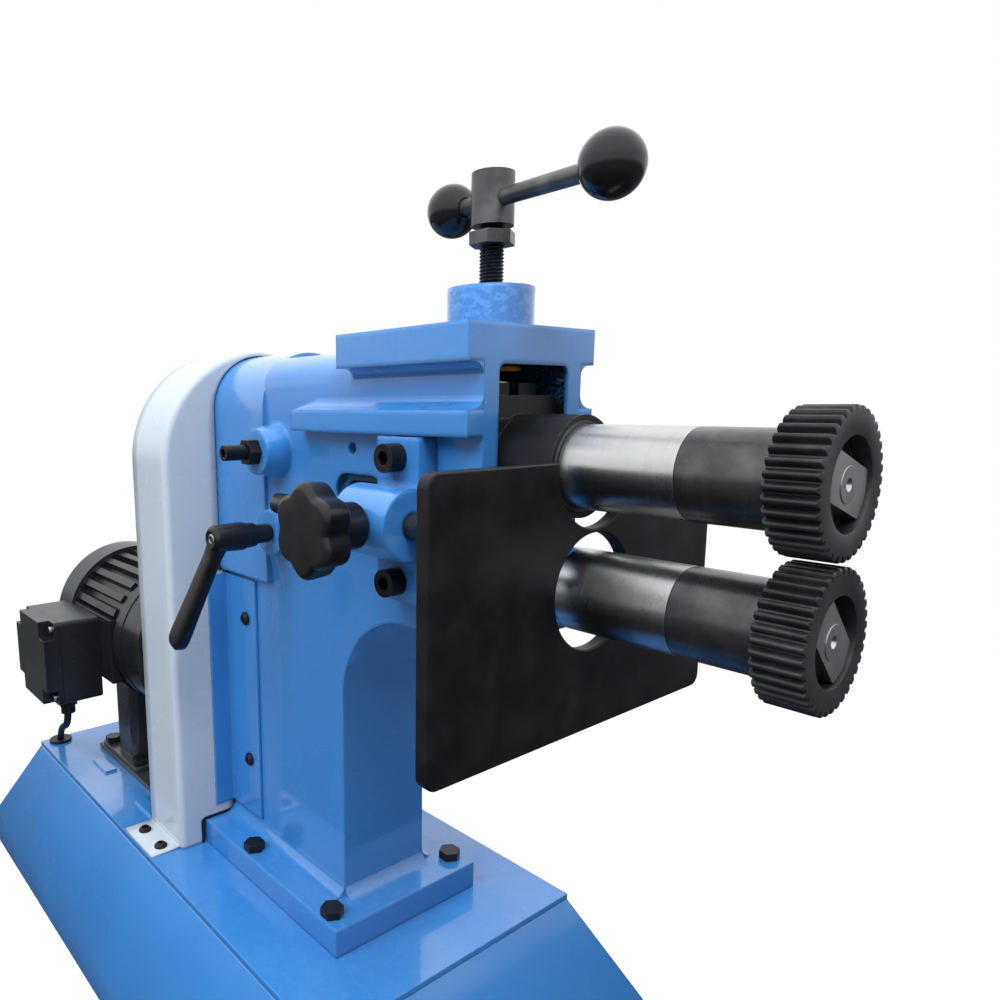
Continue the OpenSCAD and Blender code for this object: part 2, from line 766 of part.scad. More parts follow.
module casting_pockets() {
    translate([pocket_x[0] + 24, 0, axis_gap + 7]) ycyl(10, -head_half - eps, -head_half + pocket_t);
    along_y(-head_half - eps, -head_half + pocket_t)
        slot_shape(pocket_x[0], pocket_x[1], pocket_z[0], pocket_z[1]);
    along_y(-head_half - eps, -25) slot_shape(slot_x[0], slot_x[1], slot_z[0], slot_z[1]);
}

module foot_bolts() color(black) at_head() {
    for (x = foot_x, y = [-foot_y, foot_y]) translate([x, y, floor_z]) bolt(foot_t);
    for (x = post_bolt_x, y = [-post_bolt_y, post_bolt_y])
        translate([x, motor_y + y, floor_z]) bolt(rail_h + post_foot_t);
    for (y = [-post_bolt_y, post_bolt_y])
        translate([reducer_mid, motor_y + y, floor_z]) bolt(rail_h + post_foot_t);
}

module bolt(top) {
    zcyl(foot_bolt_d, -base_plate_t - 14, top);
    translate([0, 0, top]) linear_extrude(8) hex(19);
    translate([0, 0, -base_plate_t - 10]) linear_extrude(10) hex(19);
}

// Drive guard

module guard_rim() color(grey) at_head() {
    along_x(guard_end, guard_x) difference() {
        arch(guard_r, floor_z, guard_z);
        arch(guard_r - guard_wall, floor_z - eps, guard_z);
    }
    both_sides() difference() {
        slab([guard_end, guard_r - eps, floor_z], [guard_x - 6, guard_r + tab_w, floor_z + 3]);
        for (x = tab_screw_x)
            translate([x, guard_r + tab_w / 2, floor_z]) zcyl(guard_screw_d + 2 * fit_seat, -eps, 3 + eps);
    }
}

module guard_front_panel() color(grey) at_head() along_x(guard_in, guard_x) difference() {
    arch(guard_r - guard_wall - fit_seat, floor_z, guard_z);
    round_top(rear_w + 2, -step_lo - 7, rear_top + 1, rear_w / 2 + 1);
    translate([-col_half - 2, floor_z - eps]) square([col_w + 4, axis_h]);
    translate([-notch_half, floor_z - eps]) square([2 * notch_half, notch_top - floor_z + eps]);
}

module guard_rear_panel() color(grey) at_head() along_x(guard_end, guard_end_in) difference() {
    arch(guard_r - guard_wall - fit_seat, floor_z, guard_z);
    translate([motor_y, -motor_drop]) circle(d = hub_out_d + 2);
}

module guard_brackets() color(blue) at_head() both_sides() difference() {
    union() {
        slab([guard_x, col_half, bracket_z0], [bracket_x1, col_half + 3, bracket_z1]);
        slab([guard_x, col_half, bracket_z0], [guard_x + 3, col_half + bracket_lip, bracket_z1]);
    }
    for (z = plug_screw_z)
        translate([bracket_screw_x, 0, z]) ycyl(guard_screw_d + 2 * fit_seat, col_half - eps, col_half + 4);
}

module guard_screws() color(black) at_head() both_sides() {
    for (z = plug_screw_z) translate([bracket_screw_x, 0, z]) {
        ycyl(guard_screw_d, col_half - 13, col_half + 3.5);
        translate([0, col_half + 3, 0]) rotate([-90, 0, 0]) button(14);
    }
    for (x = tab_screw_x) translate([x, guard_r + tab_w / 2, floor_z]) {
        zcyl(guard_screw_d, -base_plate_t - 2, 3.5);
        translate([0, 0, 3]) button(14);
    }
}

module button(d) difference() {
    union() {
        cylinder(d = d, h = 2);
        translate([0, 0, 2]) cylinder(d1 = d, d2 = d * 0.6, h = 2.5);
    }
    translate([0, 0, 2]) linear_extrude(4) hex(5);
}

// Upper spindle and its swinging bearings

module upper_front_block() color(black) at_head() difference() {
    union() {
        slab([block_x, -window_w / 2 + gap, block_z], [block_front, window_w / 2 - gap, block_top]);
        slab([block_x, -window_w / 2 + gap, block_z],
            [block_front + block_step, window_w / 2 - gap, ledge_z]);
        for (y = [-lug_y - lug_w, lug_y])
            slab([lug_x - lug_t, y, block_top - eps], [lug_x, y + lug_w, block_top + lug_h]);
        translate([0, 0, axis_gap]) xcyl(bear_nose_d, -11, bear_nose_len);
    }
    translate([0, 0, axis_gap]) xcyl(bush_d + 2 * fit_seat, block_x - eps, bear_nose_len + eps);
}

module upper_front_bush() color(black) at_upper()
    bored_x(bush_d, journal_d + 2 * fit_run, block_x, bear_nose_len);

module upper_swivel_ring() color(steel) at_upper() translate([-pivot_x, 0, 0]) difference() {
    xcyl(swivel_d, -swivel_len / 2, swivel_len / 2);
    xcyl(journal_d + 2 * fit_run, -swivel_len / 2 - eps, swivel_len / 2 + eps);
    both_sides() ycyl(tip_d + 2 * fit_run, swivel_d / 2 - 10, swivel_d / 2 + eps);
}

module pivot_screws() color(black) at_upper() translate([-pivot_x, 0, 0]) both_sides() difference() {
    union() {
        ycyl(pivot_d, swivel_d / 2 + 2, pivot_half + 33);
        ycyl(tip_d, swivel_d / 2 - 9, swivel_d / 2 + 3);
    }
    along_y(pivot_half + 25, pivot_half + 34) hex(7);
}

module pivot_lock_nuts() color(black) at_upper() translate([-pivot_x, 0, 0]) both_sides()
    along_y(pivot_half, pivot_half + 11) difference() {
        hex(22);
        circle(d = pivot_d + 2 * fit_seat);
    }

module spindle_shaft(end) difference() {
    union() {
        xcyl(seat_d, end, rear_x + eps);
        xcyl(journal_d, rear_x, bright_x + eps);
        xcyl(shaft_d, bright_x, sleeve_x);
        xcyl(nose_d, sleeve_x - eps, nose_end);
        xcyl(stud_d, nose_end - eps, stud_end);
    }
    translate([stud_end - 5, 0, 0]) rotate([0, 90, 0]) cylinder(d1 = 0.5, d2 = 7, h = 5.01);
}

module spindle_sleeve() bored_x(shaft_d, nose_d + 2 * fit_seat, sleeve_x, roll_x);

module spindle_roll() difference() {
    along_x(roll_x, roll_end) polygon(roll_points(roll_teeth, roll_r, roll_tooth_h));
    xcyl(nose_d + 2 * fit_seat, roll_x - eps, roll_end + eps);
    xcyl(recess_d, recess_x, roll_end + eps);
}

module spindle_nut(turn) rotate([turn, 0, 0]) along_x(recess_x, stud_end - 0.5) difference() {
    intersection() {
        circle(d = recess_d - 2);
        square([recess_d, nut_flats], center = true);
    }
    circle(d = stud_d + 2 * fit_seat);
}

module spindle_gear() difference() {
    along_x(gear_x, gear_x + gear_w) polygon(gear_points(gear_teeth, gear_m, gear_add, gear_ded, gear_slack));
    xcyl(seat_d + 2 * fit_seat, gear_x - eps, gear_x + gear_w + eps);
}

module upper_shaft() color(steel) at_upper() spindle_shaft(upper_end);

module upper_sleeve() color(black) at_upper() spindle_sleeve();

module upper_roll() color(black) at_upper() spindle_roll();

module upper_roll_nut() color(black) at_upper() spindle_nut(3);

module upper_gear() color(steel) at_upper() rotate([180 / gear_teeth, 0, 0]) spindle_gear();

// Lower spindle and its fixed bearings

module lower_shaft() color(steel) at_head() spindle_shaft(lower_end);

module lower_sleeve() color(black) at_head() spindle_sleeve();

module lower_roll() color(black) at_head() rotate([180 / roll_teeth, 0, 0]) spindle_roll();

module lower_roll_nut() color(black) at_head() spindle_nut(-45);

module lower_gear() color(steel) at_head() spindle_gear();

module lower_front_bush() color(blue) at_head() difference() {
    union() {
        xcyl(bush_d, -window_depth, eps);
        xcyl(lower_nose_d, 0, bear_nose_len);
    }
    xcyl(journal_d + 2 * fit_run, -window_depth - eps, bear_nose_len + eps);
}

module lower_rear_sleeve() color(bronze) at_head() translate([-pivot_x, 0, 0])
    bored_x(rear_sleeve_d, journal_d + 2 * fit_run, -rear_sleeve_len / 2, rear_sleeve_len / 2);

// Chain drive

function loop_unit() = unit([motor_y, -motor_drop]);
function loop_cos() = (big_r - small_r) / norm([motor_y, motor_drop]);
function loop_normal(s) =
    let (u = loop_unit(), c = loop_cos())
    c * u + s * sqrt(1 - c * c) * [-u[1], u[0]];
function loop_point(s, r0, r1, t) =
    (1 - t) * r0 * loop_normal(s) + t * ([motor_y, -motor_drop] + r1 * loop_normal(s));

module loop_shape(d) {
    circle(big_r + d, $fn = 96);
    translate([motor_y, -motor_drop]) circle(small_r + d, $fn = 96);
    r0 = big_r + d - loop_inset;
    r1 = small_r + d - loop_inset;
    polygon([
        loop_point(1, r0, r1, 0), loop_point(1, r0, r1, 1),
        loop_point(-1, r0, r1, 1), loop_point(-1, r0, r1, 0)
    ]);
}

module sprocket(teeth, r, bore, hub) difference() {
    union() {
        along_x(chain_x - sprocket_t / 2, chain_x + sprocket_t / 2) difference() {
            circle(r + 4, $fn = 96);
            for (i = [0 : teeth - 1])
                translate(polar(r, (i + 0.5) * 360 / teeth)) circle(seat_r, $fn = 24);
        }
        xcyl(hub, chain_x, chain_x + hub_len);
    }
    xcyl(bore, chain_x - sprocket_t, chain_x + hub_len + eps);
}

module driven_sprocket() color(steel) at_head()
    sprocket(big_teeth, big_r, seat_d + 2 * fit_seat, seat_d + 2 * big_hub_wall);

module drive_sprocket() color(steel) at_motor()
    sprocket(small_teeth, small_r, out_d + 2 * fit_seat, out_d + 2 * small_hub_wall);

module drive_chain() color(black) at_head() {
    for (s = [-1, 1])
        translate([chain_x + s * (link_x0 + link_x1) / 2, 0, 0])
            along_x((link_x0 - link_x1) / 2, (link_x1 - link_x0) / 2) difference() {
                loop_shape(7);
                loop_shape(-7);
            }
    for (s = [-1, 1], t = [0.3 : 0.1 : 0.71]) {
        p = loop_point(s, big_r, small_r, t);
        translate([0, p[0], p[1]]) xcyl(roller_d, chain_x - link_x0 - 0.1, chain_x + link_x0 + 0.1);
    }
}

// Motor and reducer

module output_shaft() color(steel) at_motor()
    xcyl(out_d, reducer_end + input_depth + 6, chain_x + hub_len + eps);

module reducer_housing() color(black) at_head() difference() {
    union() {
        translate([0, motor_y, -motor_drop]) {
            xcyl(2 * reducer_r, reducer_end, reducer_x);
            xcyl(hub_out_d, reducer_x - eps, guard_end_in + 6);
        }
        slab([reducer_end + 6, motor_y - pedestal_half, rail_top],
            [reducer_x - 4, motor_y + pedestal_half, -motor_drop - 40]);
        slab([reducer_end + 4, motor_y - foot_half, rail_top],
            [reducer_x - 2, motor_y + foot_half, rail_top + post_foot_t]);
    }
    translate([0, motor_y, -motor_drop]) {
        xcyl(out_d + 2 * fit_run, reducer_end + input_depth + 4, guard_end_in + 7);
        xcyl(motor_shaft_d + 2 * fit_run, reducer_end - eps, reducer_end + input_depth + 2);
    }
    for (y = [-post_bolt_y, post_bolt_y])
        translate([reducer_mid, motor_y + y, rail_top])
            zcyl(foot_bolt_d + 2 * fit_seat, -eps, post_foot_t + eps);
}

function fin_points() = [for (i = [0 : fin_count - 1], k = [0 : 3])
    let (q = 360 / fin_count)
    polar(k == 1 || k == 2 ? motor_r : motor_r - fin_h, (i + [-0.3, -0.22, 0.22, 0.3][k]) * q)];

module motor_body() color(black) at_motor() difference() {
    union() {
        along_x(motor_end, bell_x) polygon(fin_points());
        slab([motor_end, -motor_pad, box_z + motor_drop + 26], [bell_x, -40, box_top + motor_drop + 2]);
        xcyl(2 * (cowl_r - cowl_wall - fit_seat), motor_end - shield_t, motor_end);
        translate([bell_x, 0, 0]) rotate([0, 90, 0])
            cylinder(r1 = bell_r - bell_edge, r2 = bell_r, h = bell_edge);
        xcyl(2 * bell_r, bell_x + bell_edge, reducer_end);
    }
    slab([motor_end, -motor_r - 1, -motor_r], [bell_x, -motor_pad, motor_r]);
    xcyl(motor_shaft_d + 2 * fit_run, motor_end - shield_t - eps, reducer_end + eps);
    xcyl(2 * rotor_r + rotor_gap, rotor_x0 - rotor_gap, rotor_x1 + rotor_gap);
}

module motor_cowl() color(black) at_motor() difference() {
    xcyl(2 * cowl_r, cowl_x, motor_end);
    xcyl(2 * (cowl_r - cowl_wall), cowl_x + cowl_wall, motor_end + eps);
    for (i = [0 : 11], k = [0, 1])
        rotate([i * 30, 0, 0]) translate([0, 0, 34 + 26 * k])
            slab([cowl_x - eps, -3 - 2 * k, -10], [cowl_x + cowl_wall + eps, 3 + 2 * k, 10]);
}

module motor_fan() color(black) at_motor() difference() {
    union() {
        xcyl(fan_hub_d, fan_x0, fan_x1);
        xcyl(fan_d, fan_x1 - fan_t, fan_x1);
        for (i = [0 : 7]) rotate([i * 45, 0, 0])
            slab([fan_x0 + 2, -fan_t / 2, fan_hub_d * 0.35], [fan_x1 - 1, fan_t / 2, fan_d * 0.6]);
    }
    xcyl(motor_shaft_d + 2 * fit_seat, fan_x0 - eps, fan_x1 + eps);
}

module motor_shaft() color(steel) at_motor() {
    xcyl(motor_shaft_d, fan_x0, reducer_end + input_depth);
    xcyl(2 * rotor_r, rotor_x0, rotor_x1);
}

module motor_post() color(grey_dark) at_head() difference() {
    union() {
        translate([0, motor_y, rail_top]) linear_extrude(saddle_depth - motor_r - motor_drop - rail_top)
            round_rect(post_x0, post_x1, -post_w / 2, post_w / 2, 12);
        translate([0, motor_y, rail_top]) linear_extrude(post_foot_t)
            round_rect(post_x0 - post_reach, post_x1 + post_reach, -foot_half, foot_half, 6);
    }
    translate([0, motor_y, -motor_drop]) {
        xcyl(2 * (motor_r + fit_seat), post_x0 - eps, post_x1 + eps);
        xcyl(2 * (cowl_r + gap), post_x0 - eps, motor_end + gap);
    }
    for (x = post_bolt_x, y = [-post_bolt_y, post_bolt_y])
        translate([x, motor_y + y, rail_top]) zcyl(foot_bolt_d + 2 * fit_seat, -eps, post_foot_t + eps);
}

module motor_rail() color(grey_dark) at_head() translate([0, motor_y, 0]) difference() {
    slab([rail_x1 - rail_len, -rail_w / 2, floor_z], [rail_x1, rail_w / 2, rail_top]);
    for (x = concat(post_bolt_x, [reducer_mid]), y = [-post_bolt_y, post_bolt_y])
        translate([x, y, rail_top]) zcyl(foot_bolt_d + 2 * fit_seat, -rail_h - eps, eps);
}

module box_corners()
    for (x = [box_x0 + lid_corner, box_x1 - lid_corner], z = [box_z + lid_corner, box_top - lid_corner])
        translate([x, z]) children();

module terminal_box() color(black) at_head() difference() {
    along_y(box_y0, box_y1) round_rect(box_x0, box_x1, box_z, box_top, 6);
    along_y(box_y0 - eps, box_y1 - 12) difference() {
        round_rect(box_x0 + box_wall, box_x1 - box_wall, box_z + box_wall, box_top - box_wall, 4);
        box_corners() circle(8);
    }
    along_y(box_y0, box_y0 + lid_screw_len + eps) box_corners() circle(d = 4 + 2 * fit_seat);
    translate([0, motor_y, -motor_drop]) xcyl(2 * (cowl_r + gap), box_x0 - eps, motor_end + gap);
    translate([gland_x, gland_y, box_z]) zcyl(gland_d + 2 * fit_seat, -eps, box_wall + eps);
}

module terminal_lid() color(black) at_head() difference() {
    along_y(box_y0 - lid_t, box_y0) round_rect(box_x0, box_x1, box_z, box_top, 6);
    along_y(box_y0 - lid_t - eps, box_y0 - lid_flange) box_corners() square(lid_notch, center = true);
    along_y(box_y0 - lid_t, box_y0 + eps) box_corners() circle(d = 4 + 2 * fit_seat);
}

module lid_screws() color(steel) at_head() {
    along_y(box_y0 - lid_flange - 0.5, box_y0 + lid_screw_len) box_corners() circle(d = 4);
    along_y(box_y0 - lid_flange - 4, box_y0 - lid_flange) box_corners() circle(d = 8);
}

module cable_gland() color(black) at_head() translate([gland_x, gland_y, box_z]) difference() {
    union() {
        zcyl(gland_d, -2, box_wall + 6);
        translate([0, 0, -10]) linear_extrude(10) hex(20);
        zcyl(17, -gland_len, -9);
    }
    zcyl(lead_d + 2 * gap, -gland_len - eps, box_wall + 7);
}

module motor_lead() color(black) at_head() tube(lead_route, [0.354, 0.935, 0], lead_d / 2, 8);

module lead_grommet() color(black) at_head() translate([grommet_x, grommet_y, floor_z]) difference() {
    union() {
        zcyl(grommet_d + 8, 0, grommet_lip);
        zcyl(grommet_d - 2 * fit_seat, -base_plate_t, eps);
    }
    zcyl(lead_d + 2 * gap, -base_plate_t - eps, grommet_lip + eps);
}

// Pressure screw

module pressure_screw() color(black) at_head() translate([-screw_x, 0, 0]) {
    zcyl(screw_d, screw_z, hub_z + 10);
    zcyl(tip_d, pad_z + 4 + gap, screw_z + eps);
}

module screw_nut() color(bronze) at_head() translate([-screw_x, 0, 0]) difference() {
    union() {
        zcyl(screw_nut_d, nut_z, nut_z + screw_nut_len);
        zcyl(screw_nut_d + 10, nut_z, window_top);
    }
    zcyl(screw_d + 2 * fit_run, nut_z - eps, nut_z + screw_nut_len + eps);
}

module thrust_pad() color(steel) at_head() translate([-screw_x, 0, 0]) difference() {
    union() {
        zcyl(32, pad_z + 2, pad_z + pad_t);
        zcyl(18, pad_z, pad_z + 3);
    }
    zcyl(tip_d + 2 * fit_run, pad_z + 4, pad_z + pad_t + eps);
}

module jam_nut() color(black) at_head() translate([-screw_x, 0, jam_z]) linear_extrude(jam_t) difference() {
    hex(30);
    circle(d = screw_d + 2 * fit_seat);
}

module tee_hub() color(black) at_head() translate([-screw_x, 0, hub_z]) difference() {
    zcyl(hub_d, 0, hub_h);
    zcyl(screw_d + 2 * fit_seat, -eps, 10 + gap);
    translate([0, 0, bar_up]) rotate([0, bar_lean, bar_angle]) xcyl(bar_d + 2 * fit_run, -hub_d, hub_d);
}

module on_bar() at_head() translate([-screw_x, 0, bar_z]) rotate([0, bar_lean, bar_angle]) children();

module tee_bar() color(black) on_bar() xcyl(bar_d, -bar_far - ball_grip, bar_len - bar_far + ball_grip);

module ball_knob() rotate_extrude($fn = 96) difference() {
    circle(d = ball_d, $fn = 96);
    translate([-ball_d, -ball_d]) square([ball_d, 2 * ball_d]);
    translate([-eps, -ball_grip - gap]) square([bar_d / 2 + fit_run + eps, ball_d]);
    translate([-eps, ball_d / 2 - 2]) square(ball_d);
}

module ball_knobs() color(black) on_bar() {
    translate([-bar_far, 0, 0]) rotate([0, 90, 0]) ball_knob();
    translate([bar_len - bar_far, 0, 0]) rotate([0, -90, 0]) ball_knob();
}

spring_z0 = window_z - spring_pocket + spring_wire / 2 + gap;
spring_z1 = block_z - spring_wire / 2 - gap;
spring_r = (spring_d - spring_wire) / 2;
spring_route = [for (i = [0 : 8 * spring_turns])
    [spring_r * cos(45 * i), spring_r * sin(45 * i),
        spring_z0 + (spring_z1 - spring_z0) * i / 8 / spring_turns]];
spring_gap = (spring_z1 - spring_z0) / spring_turns - spring_wire;
echo(spring_gap = spring_gap);

module return_springs() color(steel) at_head() for (y = [-spring_y, spring_y])
    translate([-screw_x, y, 0]) tube(spring_route, [0, 0, 1], spring_wire / 2, 6);

// Depth gauge

module gauge_bracket() color(blue) at_head() difference() {
    union() {
        slab([-bracket_x - bracket_w / 2, -bracket_y, rod_z - bracket_h / 2],
            [-bracket_x + bracket_w / 2, -head_half, rod_z + bracket_h / 2]);
        translate([-bracket_x, -rod_y, rod_z])
            xcyl(bracket_boss_d, -bracket_boss_len / 2, bracket_boss_len / 2);
    }
    translate([-bracket_x, -rod_y, rod_z]) {
        xcyl(rod_d + 2 * fit_run, -bracket_boss_len, bracket_boss_len);
        ycyl(knob_stud_d + 2 * fit_run, -bracket_boss_d, 0);
    }
    for (z = cap_z)
        translate([-bracket_x, 0, z]) ycyl(cap_d + 2 * fit_seat, -bracket_y - eps, -head_half + eps);
}

module bracket_screws() color(black) at_head() for (z = cap_z) translate([-bracket_x, 0, z]) difference() {
    union() {
        ycyl(cap_d, -bracket_y - eps, -head_half + 6);
        ycyl(cap_head_d, -bracket_y - cap_head, -bracket_y);
    }
    along_y(-bracket_y - cap_head - eps, -bracket_y - 5) hex(10);
}

module gauge_rod() color(steel) at_head() translate([0, -rod_y, rod_z]) {
    xcyl(rod_d, rod_rear, plate_back);
    xcyl(tip_d, plate_back - eps, plate_back + 5);
}

module gauge_plate() color(black) at_head() difference() {
    along_x(plate_back, plate_x) difference() {
        round_rect(plate_shift - plate_w / 2, plate_shift + plate_w / 2, -plate_drop, plate_top, plate_corner);
        circle(d = plate_hole_d);
        translate([0, axis_gap]) circle(d = plate_hole_d);
    }
    translate([0, -rod_y, rod_z]) xcyl(tip_d + 2 * fit_seat, plate_back - eps, plate_back + 5 + gap);
}

module star_knob() color(black) at_head() translate([-bracket_x, 0, rod_z]) {
    ycyl(knob_neck_d, -knob_y - knob_neck, -knob_y);
    along_y(-knob_y - knob_neck - knob_t, -knob_y - knob_neck) {
        circle(knob_d / 2 - knob_lobe_r);
        for (i = [0 : 5])
            translate(polar(knob_d / 2 - knob_lobe_r, 60 * i + 30)) circle(knob_lobe_r);
    }
    ycyl(knob_stud_d, -knob_y - eps, -rod_y - rod_d / 2 - gap);
}

// Clamp lever

module clamp_lever() color(black) at_head() translate([-pivot_x, 0, clamp_z]) {
    ycyl(lever_hub_d, -clamp_half - 2 - lever_hub_len, -clamp_half - 2);
    ycyl(clamp_d, -clamp_half - 3, -rear_sleeve_d / 2 - gap);
    translate([0, -clamp_half - lever_hub_len + 8, 0]) rotate([0, lever_angle, 0]) rotate([-lever_tilt, 0, 0])
        rotate([180, 0, 0]) {
            cylinder(d1 = lever_root_d, d2 = lever_tip_d, h = lever_reach);
            translate([0, 0, lever_reach]) sphere(d = lever_tip_d);
        }
}

base_top_plate();
base_left_panel();
base_right_panel();
base_front_panel();
base_rear_panel();
frame_casting();
foot_bolts();
guard_rim();
guard_front_panel();
guard_rear_panel();
guard_brackets();
guard_screws();
upper_front_block();
upper_front_bush();
upper_swivel_ring();
pivot_screws();
pivot_lock_nuts();
upper_shaft();
upper_sleeve();
upper_roll();
upper_roll_nut();
upper_gear();
lower_shaft();
lower_sleeve();
lower_roll();
lower_roll_nut();
lower_gear();
driven_sprocket();
lower_front_bush();
lower_rear_sleeve();
drive_sprocket();
output_shaft();
drive_chain();
reducer_housing();
motor_body();
motor_cowl();
motor_fan();
motor_shaft();
motor_post();
motor_rail();
terminal_box();
terminal_lid();
lid_screws();
cable_gland();
motor_lead();
lead_grommet();
pressure_screw();
screw_nut();
thrust_pad();
jam_nut();
tee_hub();
tee_bar();
ball_knobs();
return_springs();
gauge_bracket();
bracket_screws();
gauge_rod();
gauge_plate();
star_knob();
clamp_lever();
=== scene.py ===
"""Electric bead roller: finished surfaces, materials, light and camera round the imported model.

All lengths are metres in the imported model's own frame. A piece that stands for a node is placed
from that node's box, so it follows the part when its sizes change.
"""

import json
import math

import bmesh
import bpy
import numpy as np
from mathutils import Matrix, Vector


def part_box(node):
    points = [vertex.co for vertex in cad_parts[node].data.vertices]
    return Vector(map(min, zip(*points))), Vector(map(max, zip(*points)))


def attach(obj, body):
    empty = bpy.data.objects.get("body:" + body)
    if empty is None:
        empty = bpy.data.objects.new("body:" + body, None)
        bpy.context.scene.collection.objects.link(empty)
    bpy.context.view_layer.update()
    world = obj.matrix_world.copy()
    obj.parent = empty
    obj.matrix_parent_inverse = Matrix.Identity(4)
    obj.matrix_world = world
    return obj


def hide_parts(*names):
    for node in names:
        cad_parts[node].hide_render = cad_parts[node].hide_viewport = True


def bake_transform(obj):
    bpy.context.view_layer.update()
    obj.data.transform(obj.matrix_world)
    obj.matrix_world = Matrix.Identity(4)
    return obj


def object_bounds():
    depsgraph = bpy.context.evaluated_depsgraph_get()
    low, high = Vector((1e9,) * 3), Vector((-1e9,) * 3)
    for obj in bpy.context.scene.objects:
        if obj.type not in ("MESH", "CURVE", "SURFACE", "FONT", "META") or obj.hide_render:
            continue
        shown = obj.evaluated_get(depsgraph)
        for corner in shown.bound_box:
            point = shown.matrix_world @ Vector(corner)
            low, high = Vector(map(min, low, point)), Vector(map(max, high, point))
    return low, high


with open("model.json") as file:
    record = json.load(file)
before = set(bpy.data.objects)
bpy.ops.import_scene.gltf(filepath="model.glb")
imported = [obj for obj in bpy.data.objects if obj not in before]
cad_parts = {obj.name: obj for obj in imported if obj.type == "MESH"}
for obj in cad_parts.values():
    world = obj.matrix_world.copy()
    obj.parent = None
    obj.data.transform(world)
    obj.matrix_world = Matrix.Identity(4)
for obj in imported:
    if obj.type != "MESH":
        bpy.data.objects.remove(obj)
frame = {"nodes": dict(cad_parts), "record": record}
NODES = frame["nodes"]
BODY_OF = {n: b for b, members in frame["record"]["behaviour"]["bodies"].items() for n in members}
CAD_BOX = [list(corner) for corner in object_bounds()]

bl_info = {
    "name": "Electric bead roller",
    "version": (1, 0, 0),
    "blender": (4, 5, 0),
    "location": "View3D > Sidebar > Bead roller",
    "description": "Builds the finished surfaces and materials of an electric bead roller",
    "category": "Add Mesh",
}

MM = 0.001


def srgb(r, g, b):
    """Linear colour of a display colour from 0 to 255: ((c + 0.055) / 1.055) ** 2.4 above the toe."""
    c = np.array([r, g, b]) / 255.0
    return tuple(float(x) for x in np.where(c <= 0.04045, c / 12.92, ((c + 0.055) / 1.055) ** 2.4))


# Sizes and colours


def colour_prop(name, description, rgb):
    return bpy.props.FloatVectorProperty(
        name=name, description=description, default=srgb(*rgb), subtype="COLOR", min=0, max=1
    )


def length_prop(name, description, mm):
    return bpy.props.FloatProperty(
        name=name, description=description, default=mm * MM, unit="LENGTH", min=0, precision=5
    )


class BeadRollerColours(bpy.types.PropertyGroup):
    blue: colour_prop("Blue paint", "Gloss paint of the casting and the base", (49, 115, 180))
    # This pale blue also tints the lighter edges and the faces that look up, which are partly wear and dust and
    # partly painted highlight and painted top light.
    blue_pale: colour_prop("Pale blue", "Where the blue paint lies thin or brushed", (108, 166, 220))
    guard: colour_prop("Guard paint", "Pale grey paint of the chain guard", (166, 177, 189))
    oxide: colour_prop("Black oxide", "Blackened steel of rolls, sleeves and plate", (27, 27, 30))
    # The worn oxide tone also lightens the edges of blackened steel, partly as rubbing and partly as a painted
    # highlight.
    oxide_worn: colour_prop("Worn oxide", "Blackened steel where its edges are rubbed", (92, 92, 94))
    steel: colour_prop("Bright steel", "Ground steel of the shafts", (198, 198, 197))
    steel_dark: colour_prop("Dark steel", "Darker grinding lines in the steel", (178, 178, 178))
    bronze: colour_prop("Bronze", "Bearing bushes and the screw nut", (176, 132, 74))
    motor: colour_prop("Motor paint", "Satin black of the motor and its box", (23, 24, 27))
    # On the motor rail this dark grey is painted shade under the motor.
    post: colour_prop("Post paint", "Dark grey of the motor post and rail", (50, 52, 56))
    plastic: colour_prop("Black plastic", "Moulded knobs and lever", (17, 17, 20))
    rubber: colour_prop("Rubber", "Lead sheath and grommet", (17, 17, 19))


class BeadRollerSizes(bpy.types.PropertyGroup):
    cast_edge: length_prop("Cast edge", "Edge and corner radius of the painted castings", 5.0)
    sheet_edge: length_prop("Sheet edge", "Edge radius of the painted sheet", 1.2)
    turned_edge: length_prop("Turned edge", "Edge radius of turned pieces", 0.7)
    plate_edge: length_prop("Plate edge", "Edge radius of the gauge plate", 1.6)
    guard_bend: length_prop("Guard bend", "Bend radius between the guard's rim and front", 7.0)
    tooth_end: length_prop("Tooth end", "Chamfer at the ends of the roll teeth", 1.3)
    thread_depth: length_prop("Thread depth", "Depth of the pressure screw's thread", 1.2)
    thread_pitch: length_prop("Thread pitch", "Pitch of the pressure screw's thread", 2.5)


def colours():
    return bpy.context.scene.bead_roller_colours


def sizes():
    return bpy.context.scene.bead_roller_sizes


# Mesh helpers


def low(node):
    return np.array(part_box(node)[0])


def high(node):
    return np.array(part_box(node)[1])


def middle(node):
    return (low(node) + high(node)) / 2


def read_points(mesh):
    """The mesh's vertices as an array of (x, y, z)."""
    co = np.empty(len(mesh.vertices) * 3)
    mesh.vertices.foreach_get("co", co)
    return co.reshape(-1, 3)


def write_points(mesh, points):
    mesh.vertices.foreach_set("co", points.ravel())
    mesh.update()


def grid_quads(rows, cols, wrap_rows=False, wrap_cols=False):
    """Quads of a grid of rows x cols points: corner (i, j) joins (i, j+1), (i+1, j+1) and (i+1, j)."""
    i, j = np.meshgrid(
        np.arange(rows if wrap_rows else rows - 1),
        np.arange(cols if wrap_cols else cols - 1),
        indexing="ij",
    )
    i2, j2 = (i + 1) % rows, (j + 1) % cols
    return np.stack([i * cols + j, i * cols + j2, i2 * cols + j2, i2 * cols + j], -1).reshape(-1, 4)


